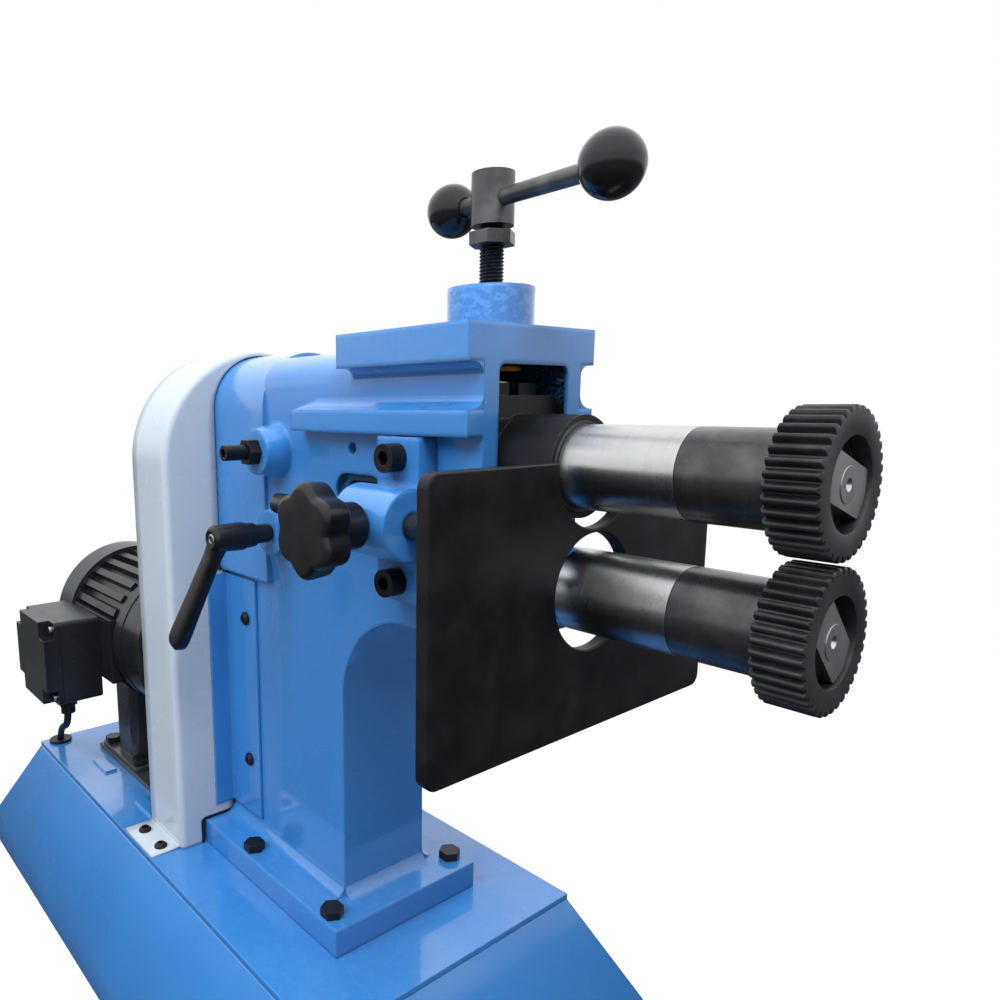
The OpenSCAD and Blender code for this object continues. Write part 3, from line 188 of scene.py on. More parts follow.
def put_mesh(name, points, quads, sharp=40.0, outward=True):
    """One object from an array of points and an array of faces; equal points become one, normals point out."""
    mesh = bpy.data.meshes.new(name)
    mesh.from_pydata(points.reshape(-1, 3).tolist(), [], quads.tolist())
    bm = bmesh.new()
    bm.from_mesh(mesh)
    bmesh.ops.remove_doubles(bm, verts=bm.verts, dist=2e-6)
    bmesh.ops.dissolve_degenerate(bm, edges=bm.edges, dist=1e-6)
    if outward:
        bmesh.ops.recalc_face_normals(bm, faces=bm.faces)
    bm.to_mesh(mesh)
    bm.free()
    mesh.shade_smooth()
    mesh.set_sharp_from_angle(angle=math.radians(sharp))
    obj = bpy.data.objects.new(name, mesh)
    bpy.context.scene.collection.objects.link(obj)
    return obj


def put_grid(name, points, wrap_rows=False, wrap_cols=False, sharp=40.0, outward=True):
    """One object from one grid of points."""
    rows, cols = points.shape[:2]
    return put_mesh(name, points, grid_quads(rows, cols, wrap_rows, wrap_cols), sharp, outward)


def put_grids(name, grids, sharp=40.0):
    """One object from several grids of points, each wrapped along its columns."""
    points, quads, start = [], [], 0
    for g in grids:
        rows, cols = g.shape[:2]
        quads.append(grid_quads(rows, cols, False, True) + start)
        points.append(g.reshape(-1, 3))
        start += rows * cols
    return put_mesh(name, np.concatenate(points), np.concatenate(quads), sharp)


def across(axis):
    """Two unit vectors square to the axis and to each other."""
    a = np.asarray(axis, float) / np.linalg.norm(axis)
    ref = np.array([0.0, 0.0, 1.0]) if abs(a[2]) < 0.9 else np.array([1.0, 0.0, 0.0])
    u = np.cross(ref, a)
    u /= np.linalg.norm(u)
    return a, u, np.cross(a, u)


def revolve(profile, origin, axis, turns=96):
    """Profile of (along, radius) pairs carried round the axis:
    point(i, t) = origin + along_i * axis + radius_i * (u cos t + v sin t)."""
    a, u, v = across(axis)
    p = np.asarray(profile, float)
    t = np.arange(turns) * 2 * np.pi / turns
    ring = np.cos(t)[:, None] * u + np.sin(t)[:, None] * v
    return np.asarray(origin, float) + p[:, 0, None, None] * a + p[:, 1, None, None] * ring[None]


def rounded(profile, radius, steps=4):
    """A polyline with each inner corner replaced by a quadratic arc that starts radius before it:
    q(t) = (1-t)^2 a + 2 t (1-t) corner + t^2 b. Short sides get a smaller radius."""
    p = np.asarray(profile, float)
    before, corner, after = p[:-2], p[1:-1], p[2:]
    d0, d1 = before - corner, after - corner
    l0 = np.maximum(np.linalg.norm(d0, axis=1, keepdims=True), 1e-9)
    l1 = np.maximum(np.linalg.norm(d1, axis=1, keepdims=True), 1e-9)
    r = np.minimum(radius, 0.45 * np.minimum(l0, l1))
    a, b = corner + d0 / l0 * r, corner + d1 / l1 * r
    t = np.linspace(0, 1, steps + 1)[None, :, None]
    arcs = (1 - t) ** 2 * a[:, None] + 2 * t * (1 - t) * corner[:, None] + t**2 * b[:, None]
    return np.concatenate([p[:1], arcs.reshape(-1, p.shape[1]), p[-1:]])


def sweep(path, ref, section):
    """A cross section carried along a path: point(i, j) = path_i + x_ij * side_i + y_ij * up_i,
    where side is the tangent x ref, and up is side x tangent. Both ends draw in to the path's ends."""
    tangent = np.gradient(path, axis=0)
    tangent /= np.linalg.norm(tangent, axis=1, keepdims=True)
    side = np.cross(tangent, np.asarray(ref, float))
    side /= np.linalg.norm(side, axis=1, keepdims=True)
    up = np.cross(side, tangent)
    s = np.broadcast_to(section, (len(path),) + section.shape[-2:])
    pts = path[:, None] + s[..., :1] * side[:, None] + s[..., 1:] * up[:, None]
    first = np.broadcast_to(path[0], pts[:1].shape)
    last = np.broadcast_to(path[-1], pts[:1].shape)
    return np.concatenate([first, pts, last])


def circle_section(radius, sides=16):
    t = np.arange(sides) * 2 * np.pi / sides
    return radius * np.stack([np.cos(t), np.sin(t)], -1)


def super_section(width, height, power=3.0, sides=32):
    """Superellipse |x / a|^p + |y / b|^p = 1 for arrays of widths and heights, one section each."""
    t = np.arange(sides) * 2 * np.pi / sides
    c, s = np.cos(t), np.sin(t)
    x = np.sign(c) * np.abs(c) ** (2 / power)
    y = np.sign(s) * np.abs(s) ** (2 / power)
    return np.stack([np.asarray(width)[..., None] / 2 * x, np.asarray(height)[..., None] / 2 * y], -1)


def finish_piece(obj, body, finish, slot, *nodes):
    """Gives a piece its material and its body, and hides the nodes it stands for. The slot is not used."""
    obj.data.materials.clear()
    obj.data.materials.append(material(finish))
    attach(obj, body)
    if nodes:
        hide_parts(*nodes)
    return obj


SOFT_ANGLE = math.radians(32.0)
FLAT_ANGLE = math.radians(0.5)


def soft_copy(node, finish, slot, edge, segments=2):
    """The node's own faces, joined, with the edges over the soft angle rounded by a Bevel modifier.
    With an edge of 0 they stay sharp, and the finish may soften them."""
    source = NODES[node].data
    tri = np.empty(len(source.loops), int)
    source.loops.foreach_get("vertex_index", tri)
    mesh = bpy.data.meshes.new(node + "_finish")
    mesh.from_pydata(read_points(source).tolist(), [], tri.reshape(-1, 3).tolist())
    bm = bmesh.new()
    bm.from_mesh(mesh)
    bmesh.ops.remove_doubles(bm, verts=bm.verts, dist=3e-6)
    bmesh.ops.dissolve_degenerate(bm, edges=bm.edges, dist=1e-6)
    bmesh.ops.dissolve_limit(bm, angle_limit=FLAT_ANGLE, verts=bm.verts, edges=bm.edges)
    bm.to_mesh(mesh)
    bm.free()
    mesh.shade_smooth()
    obj = bpy.data.objects.new(node + "_finish", mesh)
    bpy.context.scene.collection.objects.link(obj)
    if edge > 0:
        bevel = obj.modifiers.new("edges", "BEVEL")
        bevel.width = edge
        bevel.segments = segments
        bevel.limit_method = "ANGLE"
        bevel.angle_limit = SOFT_ANGLE
        bevel.harden_normals = True
        bevel.miter_outer = "MITER_ARC"
    else:
        mesh.set_sharp_from_angle(angle=SOFT_ANGLE)
    return finish_piece(obj, BODY_OF[node], finish, slot, node)


def round_corners(obj, radius, factor):
    """Grows the arcs in the four YZ corners of a plate: p' = k + f (p - k) with k the sharp corner."""
    points = read_points(obj.data)
    p = points[:, 1:]
    near = np.where(p > (p.min(0) + p.max(0)) / 2, p.max(0), p.min(0))
    hit = (np.abs(p - near) < radius * 1.02).all(1)
    p[hit] = near[hit] + factor * (p - near)[hit]
    write_points(obj.data, points)


# Shader node groups and materials


class Tree:
    """Short calls to add and join nodes in one node tree."""

    def __init__(self, tree):
        self.tree = tree

    def node(self, kind, inputs=None, **settings):
        n = self.tree.nodes.new(kind)
        for key, value in settings.items():
            setattr(n, key, value)
        for key, value in (inputs or {}).items():
            if isinstance(value, bpy.types.NodeSocket):
                self.tree.links.new(value, n.inputs[key])
            else:
                n.inputs[key].default_value = value
        return n

    def math(self, operation, a, b=0.0, clamp=False):
        return self.node("ShaderNodeMath", {0: a, 1: b}, operation=operation, use_clamp=clamp).outputs[0]

    def noise(self, vector, scale, detail=3.0, rough=0.5):
        n = self.node(
            "ShaderNodeTexNoise", {"Vector": vector, "Scale": scale, "Detail": detail, "Roughness": rough}
        )
        return n.outputs["Fac"]

    def ramp(self, value, lo, hi, out_lo=0.0, out_hi=1.0):
        n = self.node(
            "ShaderNodeMapRange",
            {"Value": value, "From Min": lo, "From Max": hi, "To Min": out_lo, "To Max": out_hi},
            interpolation_type="SMOOTHSTEP",
        )
        return n.outputs["Result"]

    def mix(self, factor, a, b):
        n = self.node("ShaderNodeMix", data_type="RGBA")
        for socket, value in ((n.inputs[0], factor), (n.inputs[6], a), (n.inputs[7], b)):
            if isinstance(value, bpy.types.NodeSocket):
                self.tree.links.new(value, socket)
            else:
                socket.default_value = value if isinstance(value, float) else tuple(value) + (1.0,)
        return n.outputs[2]

    def stretch(self, vector, scale, location=(0.0, 0.0, 0.0)):
        n = self.node("ShaderNodeMapping", {"Vector": vector, "Scale": scale, "Location": location})
        return n.outputs["Vector"]


def new_group(name, ins, outs):
    """A node group with named inputs (name, kind, default) and outputs (name, kind)."""
    tree = bpy.data.node_groups.new(name, "ShaderNodeTree")
    for label, kind, default in ins:
        socket = tree.interface.new_socket(name=label, in_out="INPUT", socket_type=kind)
        if default is not None:
            socket.default_value = default
    for label, kind in outs:
        tree.interface.new_socket(name=label, in_out="OUTPUT", socket_type=kind)
    return tree, tree.nodes.new("NodeGroupInput"), tree.nodes.new("NodeGroupOutput")


FLOAT, COLOUR, VECTOR = "NodeSocketFloat", "NodeSocketColor", "NodeSocketVector"


def group_edge_wear_and_highlight():
    """Mask that is 1 along rounded or sharp edges, broken up by noise: 1 - dot(rounded normal, normal). The edges it
    lightens stand partly for rubbed wear and partly for a painted highlight.
    """
    if "Edge wear" in bpy.data.node_groups:
        return bpy.data.node_groups["Edge wear"]
    tree, gin, gout = new_group(
        "Edge wear", [("Vector", VECTOR, None), ("Radius", FLOAT, 0.0015), ("Amount", FLOAT, 1.0)], [("Mask", FLOAT)]
    )
    t = Tree(tree)
    bevel = t.node("ShaderNodeBevel", {"Radius": gin.outputs["Radius"]}, samples=4)
    geo = t.node("ShaderNodeNewGeometry")
    dot = t.node(
        "ShaderNodeVectorMath", {0: bevel.outputs[0], 1: geo.outputs["Normal"]}, operation="DOT_PRODUCT"
    ).outputs["Value"]
    edge = t.ramp(t.math("SUBTRACT", 1.0, dot), 0.02, 0.22)
    broken = t.ramp(t.noise(gin.outputs["Vector"], 260.0, 4.0, 0.6), 0.38, 0.62)
    mask = t.math("MULTIPLY", t.math("MULTIPLY", edge, broken), gin.outputs["Amount"], True)
    tree.links.new(mask, gout.inputs["Mask"])
    return tree


def group_paint():
    """Brushed gloss paint: slow mottling, brushed patches and fine orange peel, from noise at three scales."""
    if "Paint coat" in bpy.data.node_groups:
        return bpy.data.node_groups["Paint coat"]
    tree, gin, gout = new_group(
        "Paint coat",
        [("Vector", VECTOR, None), ("Mottle", FLOAT, 0.3), ("Patch", FLOAT, 0.2), ("Lumps", FLOAT, 0.5)],
        [("Shade", FLOAT), ("Patches", FLOAT), ("Gloss", FLOAT), ("Height", FLOAT)],
    )
    t = Tree(tree)
    v = gin.outputs["Vector"]
    slow = t.noise(v, 7.0, 3.0, 0.55)
    brushed = t.noise(t.stretch(v, (130.0, 130.0, 210.0)), 1.0, 5.0, 0.65)
    peel = t.noise(v, 150.0, 1.0, 0.3)
    lumps = t.noise(v, 60.0, 2.0, 0.45)
    shade = t.math("MULTIPLY", t.math("SUBTRACT", slow, 0.5), gin.outputs["Mottle"])
    tree.links.new(t.math("ADD", shade, 0.5), gout.inputs["Shade"])
    patches = t.math("MULTIPLY", t.ramp(brushed, 0.44, 0.62), gin.outputs["Patch"], True)
    tree.links.new(patches, gout.inputs["Patches"])
    tree.links.new(t.ramp(slow, 0.3, 0.7, 0.2, 0.36), gout.inputs["Gloss"])
    height = t.math(
        "ADD", t.math("MULTIPLY", peel, 0.05), t.math("MULTIPLY", lumps, gin.outputs["Lumps"])
    )
    tree.links.new(height, gout.inputs["Height"])
    return tree


def group_oxide():
    """Blackened steel: cloudy tone, fine grain, and roughness that follows the clouds."""
    if "Oxide skin" in bpy.data.node_groups:
        return bpy.data.node_groups["Oxide skin"]
    tree, gin, gout = new_group(
        "Oxide skin",
        [("Vector", VECTOR, None), ("Rough low", FLOAT, 0.3), ("Rough high", FLOAT, 0.5)],
        [("Cloud", FLOAT), ("Roughness", FLOAT), ("Height", FLOAT)],
    )
    t = Tree(tree)
    v = gin.outputs["Vector"]
    cloud = t.noise(v, 34.0, 5.0, 0.6)
    grain = t.noise(v, 900.0, 2.0, 0.5)
    tree.links.new(t.ramp(cloud, 0.35, 0.75), gout.inputs["Cloud"])
    rough = t.node(
        "ShaderNodeMapRange",
        {
            "Value": t.math("ADD", t.math("MULTIPLY", cloud, 0.7), t.math("MULTIPLY", grain, 0.3)),
            "From Min": 0.3,
            "From Max": 0.7,
            "To Min": gin.outputs["Rough low"],
            "To Max": gin.outputs["Rough high"],
        },
    ).outputs["Result"]
    tree.links.new(rough, gout.inputs["Roughness"])
    height = t.math("ADD", t.math("MULTIPLY", grain, 0.6), t.math("MULTIPLY", cloud, 0.4))
    tree.links.new(height, gout.inputs["Height"])
    return tree


def group_turned():
    """Grinding lines round a shaft that lies along X: noise that changes fast along X and slowly round it."""
    if "Turned lines" in bpy.data.node_groups:
        return bpy.data.node_groups["Turned lines"]
    tree, gin, gout = new_group(
        "Turned lines",
        [("Vector", VECTOR, None), ("Rough low", FLOAT, 0.16), ("Rough high", FLOAT, 0.36)],
        [("Lines", FLOAT), ("Roughness", FLOAT), ("Height", FLOAT)],
    )
    t = Tree(tree)
    v = gin.outputs["Vector"]
    fine = t.noise(t.stretch(v, (16000.0, 40.0, 40.0)), 1.0, 2.0, 0.6)
    broad = t.noise(t.stretch(v, (240.0, 14.0, 14.0)), 1.0, 4.0, 0.6)
    smear = t.noise(v, 42.0, 3.0, 0.6)
    lines = t.math("ADD", t.math("MULTIPLY", fine, 0.65), t.math("MULTIPLY", broad, 0.35))
    tree.links.new(t.ramp(lines, 0.3, 0.7), gout.inputs["Lines"])
    rough = t.node(
        "ShaderNodeMapRange",
        {
            "Value": t.math("ADD", t.math("MULTIPLY", lines, 0.5), t.math("MULTIPLY", smear, 0.5)),
            "From Min": 0.35,
            "From Max": 0.65,
            "To Min": gin.outputs["Rough low"],
            "To Max": gin.outputs["Rough high"],
        },
    ).outputs["Result"]
    tree.links.new(rough, gout.inputs["Roughness"])
    tree.links.new(fine, gout.inputs["Height"])
    return tree


def group_dust_and_top_light():
    """Mask of fine dust and painted top light on faces that look up: the normal's Z times speckled noise."""
    if "Dust and top light" in bpy.data.node_groups:
        return bpy.data.node_groups["Dust and top light"]
    tree, gin, gout = new_group("Dust and top light", [("Vector", VECTOR, None), ("Amount", FLOAT, 0.3)], [("Mask", FLOAT)])
    t = Tree(tree)
    geo = t.node("ShaderNodeNewGeometry")
    z = t.node("ShaderNodeSeparateXYZ", {0: geo.outputs["Normal"]}).outputs["Z"]
    speck = t.ramp(t.noise(gin.outputs["Vector"], 140.0, 6.0, 0.65), 0.4, 0.75)
    mask = t.math("MULTIPLY", t.math("MULTIPLY", t.ramp(z, 0.35, 0.95), speck), gin.outputs["Amount"], True)
    tree.links.new(mask, gout.inputs["Mask"])
    return tree


def place(t, tree, inputs):
    """Places a node group in a material with its own values."""
    n = t.node("ShaderNodeGroup")
    n.node_tree = tree
    for key, value in inputs.items():
        if isinstance(value, bpy.types.NodeSocket):
            t.tree.links.new(value, n.inputs[key])
        else:
            n.inputs[key].default_value = value
    return n.outputs


def blank(name, **constants):
    """A material with one Principled shader, its plain values set on its own sockets."""
    mat = bpy.data.materials.new(name)
    mat.use_nodes = True
    t = Tree(mat.node_tree)
    bsdf = mat.node_tree.nodes["Principled BSDF"]
    for key, value in constants.items():
        bsdf.inputs[key.replace("_", " ")].default_value = value
    vector = t.node("ShaderNodeTexCoord").outputs["Object"]
    return mat, t, bsdf, vector


def join(t, bsdf, colour=None, roughness=None, metallic=None, height=None, depth=0.0002, coat=None, soft=0.0):
    """Links what a finish works out to its shader: colour, values, bumps, and corners rounded by the soft radius."""
    inputs = {"Base Color": colour, "Roughness": roughness, "Metallic": metallic, "Coat Weight": coat}
    for key, value in inputs.items():
        if value is not None:
            t.tree.links.new(value, bsdf.inputs[key])
    if height is not None:
        bump = t.node("ShaderNodeBump", {"Height": height, "Distance": depth, "Strength": 1.0})
        if soft > 0:
            round_edge = t.node("ShaderNodeBevel", {"Radius": soft}, samples=8)
            t.tree.links.new(round_edge.outputs["Normal"], bump.inputs["Normal"])
        t.tree.links.new(bump.outputs["Normal"], bsdf.inputs["Normal"])


def scaled(rgb, factor):
    return tuple(min(1.0, c * factor) for c in rgb)


WINDOW_TOP = 663.2
HEAD_HALF = 52.0
POCKET_X = (245.0, 307.0)
POCKET_Z = (550.0, 580.0)
POCKET_FLOOR = -20.0


def window_shade_mask(t, v):
    """1 on the walls of the bearing window, from its place in the casting, and 0 on the faces outside it. The walls
    take near-black as painted shade in the recess, broken by blue speckles near the upper corner.
    """
    x, y, z = t.node("ShaderNodeSeparateXYZ", {0: v}).outputs
    front = float(high("frame_casting")[0])
    lo, hi = low("upper_front_block"), high("upper_front_block")
    half = float(hi[1]) + 0.6 * MM
    inside = t.ramp(t.math("ABSOLUTE", y), half, half + 0.4 * MM, 1.0, 0.0)
    behind = t.ramp(x, front - 3.5 * MM, front - 1.5 * MM, 1.0, 0.0)
    above = t.ramp(z, float(lo[2]) - 9 * MM, float(lo[2]) - 7.6 * MM)
    below = t.ramp(z, WINDOW_TOP * MM, (WINDOW_TOP + 0.6) * MM, 1.0, 0.0)
    mask = t.math("MULTIPLY", t.math("MULTIPLY", inside, behind), t.math("MULTIPLY", above, below))
    speckle = t.ramp(t.noise(v, 480.0, 4.0, 0.65), 0.42, 0.72, 0.0, 0.8)
    high_up = t.ramp(z, (WINDOW_TOP - 34) * MM, (WINDOW_TOP - 18) * MM)
    corner = t.math("MULTIPLY", t.ramp(y, 0.5 * half, half), high_up)
    return t.math("MULTIPLY", mask, t.math("SUBTRACT", 1.0, t.math("MULTIPLY", speckle, corner)))


def pocket_shade_mask(t, v):
    """1 inside the shallow pocket and its slot in the near side of the head, where the blue is painted darker as
    painted shade.
    """
    x, y, z = t.node("ShaderNodeSeparateXYZ", {0: v}).outputs
    sides = [
        t.ramp(x, (POCKET_X[0] - 0.5) * MM, POCKET_X[0] * MM),
        t.ramp(x, POCKET_X[1] * MM, (POCKET_X[1] + 0.5) * MM, 1.0, 0.0),
        t.ramp(z, (POCKET_Z[0] - 0.5) * MM, POCKET_Z[0] * MM),
        t.ramp(z, POCKET_Z[1] * MM, (POCKET_Z[1] + 0.5) * MM, 1.0, 0.0),
        t.ramp(y, (0.8 - HEAD_HALF) * MM, (3.0 - HEAD_HALF) * MM),
        t.ramp(y, (POCKET_FLOOR - 2) * MM, POCKET_FLOOR * MM, 1.0, 0.0),
    ]
    mask = sides[0]
    for side in sides[1:]:
        mask = t.math("MULTIPLY", mask, side)
    return mask


BOSS_HEIGHT = 28.0
BOSS_PATCHES = 0.34


def gloss_paint(name, rgb, pale, patch, lumps, wear_and_highlight, depth, casting=False, coat=0.35, soft=0.0015, gloss=0.45):
    """Gloss paint over metal: mottled tone, pale brushed patches, soft corners, and lighter edges that are partly
    rubbed wear and partly painted highlight.
    On the casting the boss is brushed thicker, the walls of the window are painted near-black as painted shade, and
    the pocket in the near side is painted darker as painted shade."""
    mat, t, bsdf, v = blank(name, Coat_Roughness=0.07, Specular_IOR_Level=gloss)
    amount = patch
    if casting:
        z = t.node("ShaderNodeSeparateXYZ", {0: v}).outputs["Z"]
        top = float(high("frame_casting")[2])
        amount = t.ramp(z, top - (BOSS_HEIGHT + 0.5) * MM, top - (BOSS_HEIGHT - 0.5) * MM, patch, BOSS_PATCHES)
    p = place(t, group_paint(), {"Vector": v, "Mottle": 0.22, "Patch": amount, "Lumps": lumps})
    edge = place(t, group_edge_wear_and_highlight(), {"Vector": v, "Radius": 0.0025, "Amount": wear_and_highlight})["Mask"]
    tone = t.mix(p["Shade"], scaled(rgb, 0.82), scaled(rgb, 1.16))
    tone = t.mix(p["Patches"], tone, pale)
    # Lighter edges: partly rubbed wear, partly a painted highlight on the rounded edges.
    tone = t.mix(edge, tone, scaled(pale, 1.1))
    # Paler speckles on faces that look up: partly dust, partly painted light on the tops.
    dust_and_top_light = place(t, group_dust_and_top_light(), {"Vector": v, "Amount": 0.08})["Mask"]
    tone = t.mix(dust_and_top_light, tone, scaled(pale, 1.15))
    if casting:
        # The walls of the bearing window get the rubber's near-black as painted shade.
        tone = t.mix(window_shade_mask(t, v), tone, colours().rubber)
        # Painted shade: the blue is darkened inside the pocket and its slot.
        tone = t.mix(pocket_shade_mask(t, v), tone, scaled(rgb, 0.3))
    coat_mask = t.ramp(p["Gloss"], 0.2, 0.36, coat, coat * 0.6)
    join(t, bsdf, tone, p["Gloss"], None, p["Height"], depth, coat_mask, soft)
    return mat


def oxide_steel(name, rgb, worn_and_highlight, rough, wear_and_highlight, depth, metal=0.45, turned=False):
    """Blackened steel with cloudy tone, and lighter edges that are partly rubbed wear and partly a painted highlight.
    """
    mat, t, bsdf, v = blank(name, Specular_IOR_Level=0.3)
    o = place(t, group_oxide(), {"Vector": v, "Rough low": rough[0], "Rough high": rough[1]})
    tone = t.mix(o["Cloud"], scaled(rgb, 0.7), scaled(rgb, 1.5))
    height, roughness = o["Height"], o["Roughness"]
    if turned:
        lines = place(t, group_turned(), {"Vector": v, "Rough low": rough[0], "Rough high": rough[1]})
        tone = t.mix(t.math("MULTIPLY", lines["Lines"], 0.25), tone, worn_and_highlight)
        height = t.math("ADD", t.math("MULTIPLY", lines["Height"], 0.6), t.math("MULTIPLY", height, 0.4))
        roughness = lines["Roughness"]
    edge = place(t, group_edge_wear_and_highlight(), {"Vector": v, "Radius": 0.0012, "Amount": wear_and_highlight})["Mask"]
    # Lighter edges in the worn tone: partly rubbed wear, partly a painted highlight.
    tone = t.mix(edge, tone, worn_and_highlight)
    metallic = t.math("ADD", t.math("MULTIPLY", edge, 0.4), metal)
    join(t, bsdf, tone, roughness, metallic, height, depth)
    return mat


def ground_steel(name, light, dark, rough, depth):
    """Ground or turned bright metal with lines round its axis."""
    mat, t, bsdf, v = blank(name, Metallic=1.0)
    g = place(t, group_turned(), {"Vector": v, "Rough low": rough[0], "Rough high": rough[1]})
    stain = t.ramp(t.noise(v, 60.0, 4.0, 0.6), 0.56, 0.8)
    tone = t.mix(g["Lines"], dark, light)
    tone = t.mix(t.math("MULTIPLY", stain, 0.15), tone, scaled(dark, 0.6))
    join(t, bsdf, tone, g["Roughness"], None, g["Height"], depth)
    return mat


def moulded(name, rgb, rough, grain, depth, wear_and_highlight=0.25):
    """Moulded plastic or rubber: fine spark grain, slow gloss changes, slightly greyed edges that are partly rubbed
    wear and partly a painted highlight.
    """
    mat, t, bsdf, v = blank(name, Specular_IOR_Level=0.4)
    o = place(t, group_oxide(), {"Vector": v, "Rough low": rough[0], "Rough high": rough[1]})
    edge = place(t, group_edge_wear_and_highlight(), {"Vector": v, "Radius": 0.0015, "Amount": wear_and_highlight})["Mask"]
    tone = t.mix(o["Cloud"], scaled(rgb, 0.8), scaled(rgb, 1.35))
    # Greyed edges: partly rubbed wear, partly a painted highlight.
    tone = t.mix(edge, tone, scaled(rgb, 4.0))
    spark = t.noise(v, grain, 2.0, 0.5)
    height = t.math("ADD", t.math("MULTIPLY", spark, 0.8), t.math("MULTIPLY", o["Height"], 0.2))
    join(t, bsdf, tone, o["Roughness"], None, height, depth)
    return mat


# Pale grey of the guard's lighter edges and of its faces that look up: partly wear and dust, partly painted highlight
# and painted top light.
GUARD_EDGE = (0.7, 0.72, 0.74)


def finishes():
    """Maker and settings of every finish; depth is the height of its bumps and rough the span of its roughness."""
    c = colours()
    cast = dict(rgb=c.blue, pale=c.blue_pale, patch=0.02, lumps=0.35, depth=0.0003, casting=True, coat=1.0, gloss=0.3)
    sheet = dict(rgb=c.blue, pale=c.blue_pale, patch=0.0, lumps=0.06, depth=0.00012, coat=1.0, gloss=0.3)
    satin = dict(patch=0.1, lumps=0.2, wear_and_highlight=0.3, depth=0.0001)
    dark = dict(worn_and_highlight=c.oxide_worn, depth=0.00003)
    turned = dict(worn_and_highlight=c.oxide_worn, depth=0.000008, turned=True)
    return {
        "Cast blue": (gloss_paint, dict(cast, wear_and_highlight=0.04, soft=sizes().cast_edge)),
        "Cove blue": (gloss_paint, dict(cast, wear_and_highlight=0.0, soft=0.0)),
        "Sheet blue": (gloss_paint, dict(sheet, wear_and_highlight=0.1, soft=0.003)),
        "Guard grey": (
            gloss_paint,
            dict(rgb=c.guard, pale=GUARD_EDGE, patch=0.0, lumps=0.02, wear_and_highlight=0.15, depth=0.0001, coat=0.2),
        ),
        "Motor black": (gloss_paint, dict(satin, rgb=c.motor, pale=scaled(c.motor, 2.4), coat=0.05, gloss=0.25)),
        "Post grey": (gloss_paint, dict(satin, rgb=c.post, pale=scaled(c.post, 2.2), coat=0.15, gloss=0.35)),
        # The gauge plate's edges are strongly lightened: partly rubbed wear, partly a painted highlight along its
        # bevelled rim.
        "Oxide plate": (
            oxide_steel,
            dict(dark, rgb=scaled(c.oxide, 0.7), rough=(0.36, 0.52), wear_and_highlight=0.9, depth=0.00006, metal=0.2),
        ),
        "Oxide turned": (
            oxide_steel,
            dict(turned, rgb=scaled(c.oxide_worn, 0.7), rough=(0.24, 0.32), wear_and_highlight=0.4, metal=0.85),
        ),
        "Oxide roll": (
            oxide_steel,
            dict(dark, rgb=scaled(c.oxide_worn, 0.4), rough=(0.32, 0.44), wear_and_highlight=0.6, metal=0.7),
        ),
        "Oxide grey": (
            oxide_steel,
            dict(dark, rgb=c.oxide_worn, worn_and_highlight=scaled(c.oxide_worn, 1.5), rough=(0.32, 0.46), wear_and_highlight=0.6, metal=0.8),
        ),
        "Oxide fastener": (
            oxide_steel,
            dict(dark, rgb=scaled(c.oxide, 1.6), rough=(0.28, 0.44), wear_and_highlight=0.8, metal=0.6),
        ),
        "Bright steel": (ground_steel, dict(light=c.steel, dark=c.steel_dark, rough=(0.26, 0.32), depth=0.00004)),
        "Dull steel": (
            ground_steel,
            dict(light=scaled(c.steel, 0.72), dark=scaled(c.steel_dark, 0.72), rough=(0.38, 0.5), depth=0.00001),
        ),
        "Bronze": (
            ground_steel,
            dict(light=scaled(c.bronze, 0.5), dark=scaled(c.bronze, 0.3), rough=(0.35, 0.5), depth=0.00002),
        ),
        "Black plastic": (moulded, dict(rgb=c.plastic, rough=(0.24, 0.4), grain=1500.0, depth=0.00003)),
        "Ball plastic": (moulded, dict(rgb=c.plastic, rough=(0.14, 0.22), grain=700.0, depth=0.000012, wear_and_highlight=0.1)),
        "Rubber": (moulded, dict(rgb=c.rubber, rough=(0.5, 0.65), grain=1100.0, depth=0.00004, wear_and_highlight=0.1)),
    }


def material(name):
    """The named finish, made on first use."""
    if name in bpy.data.materials and bpy.data.materials[name].get("bead_roller"):
        return bpy.data.materials[name]
    maker, settings = finishes()[name]
    mat = maker(name, **settings)
    mat["bead_roller"] = True
    return mat


# Pieces


class Piece(bpy.types.Operator):
    """Shared base of the operators that make pieces"""

    bl_options = {"REGISTER", "UNDO"}


class BEADROLLER_OT_base(Piece):
    """Base cabinet: folded sheet with rounded edges, and the foot bolts"""

    bl_idname = "bead_roller.base"
    bl_label = "Base"

    def execute(self, context):
        edge = sizes().sheet_edge
        for node in ("base_top_plate", "base_left_panel", "base_right_panel", "base_front_panel", "base_rear_panel"):
            soft_copy(node, "Sheet blue", "blue_paint", edge)
        soft_copy("foot_bolts", "Oxide fastener", "black_steel", 0.9 * MM)
        return {"FINISHED"}


RIB_TOP = 632.0
RIB_BACK = 183.0
FLANGE_FOOT = 664.0
FLANGE_BACK = 268.0
RIB_COVE = (13.0, 10.0, 40.0)
FLANGE_COVE = (10.0, -8.0, 0.0)


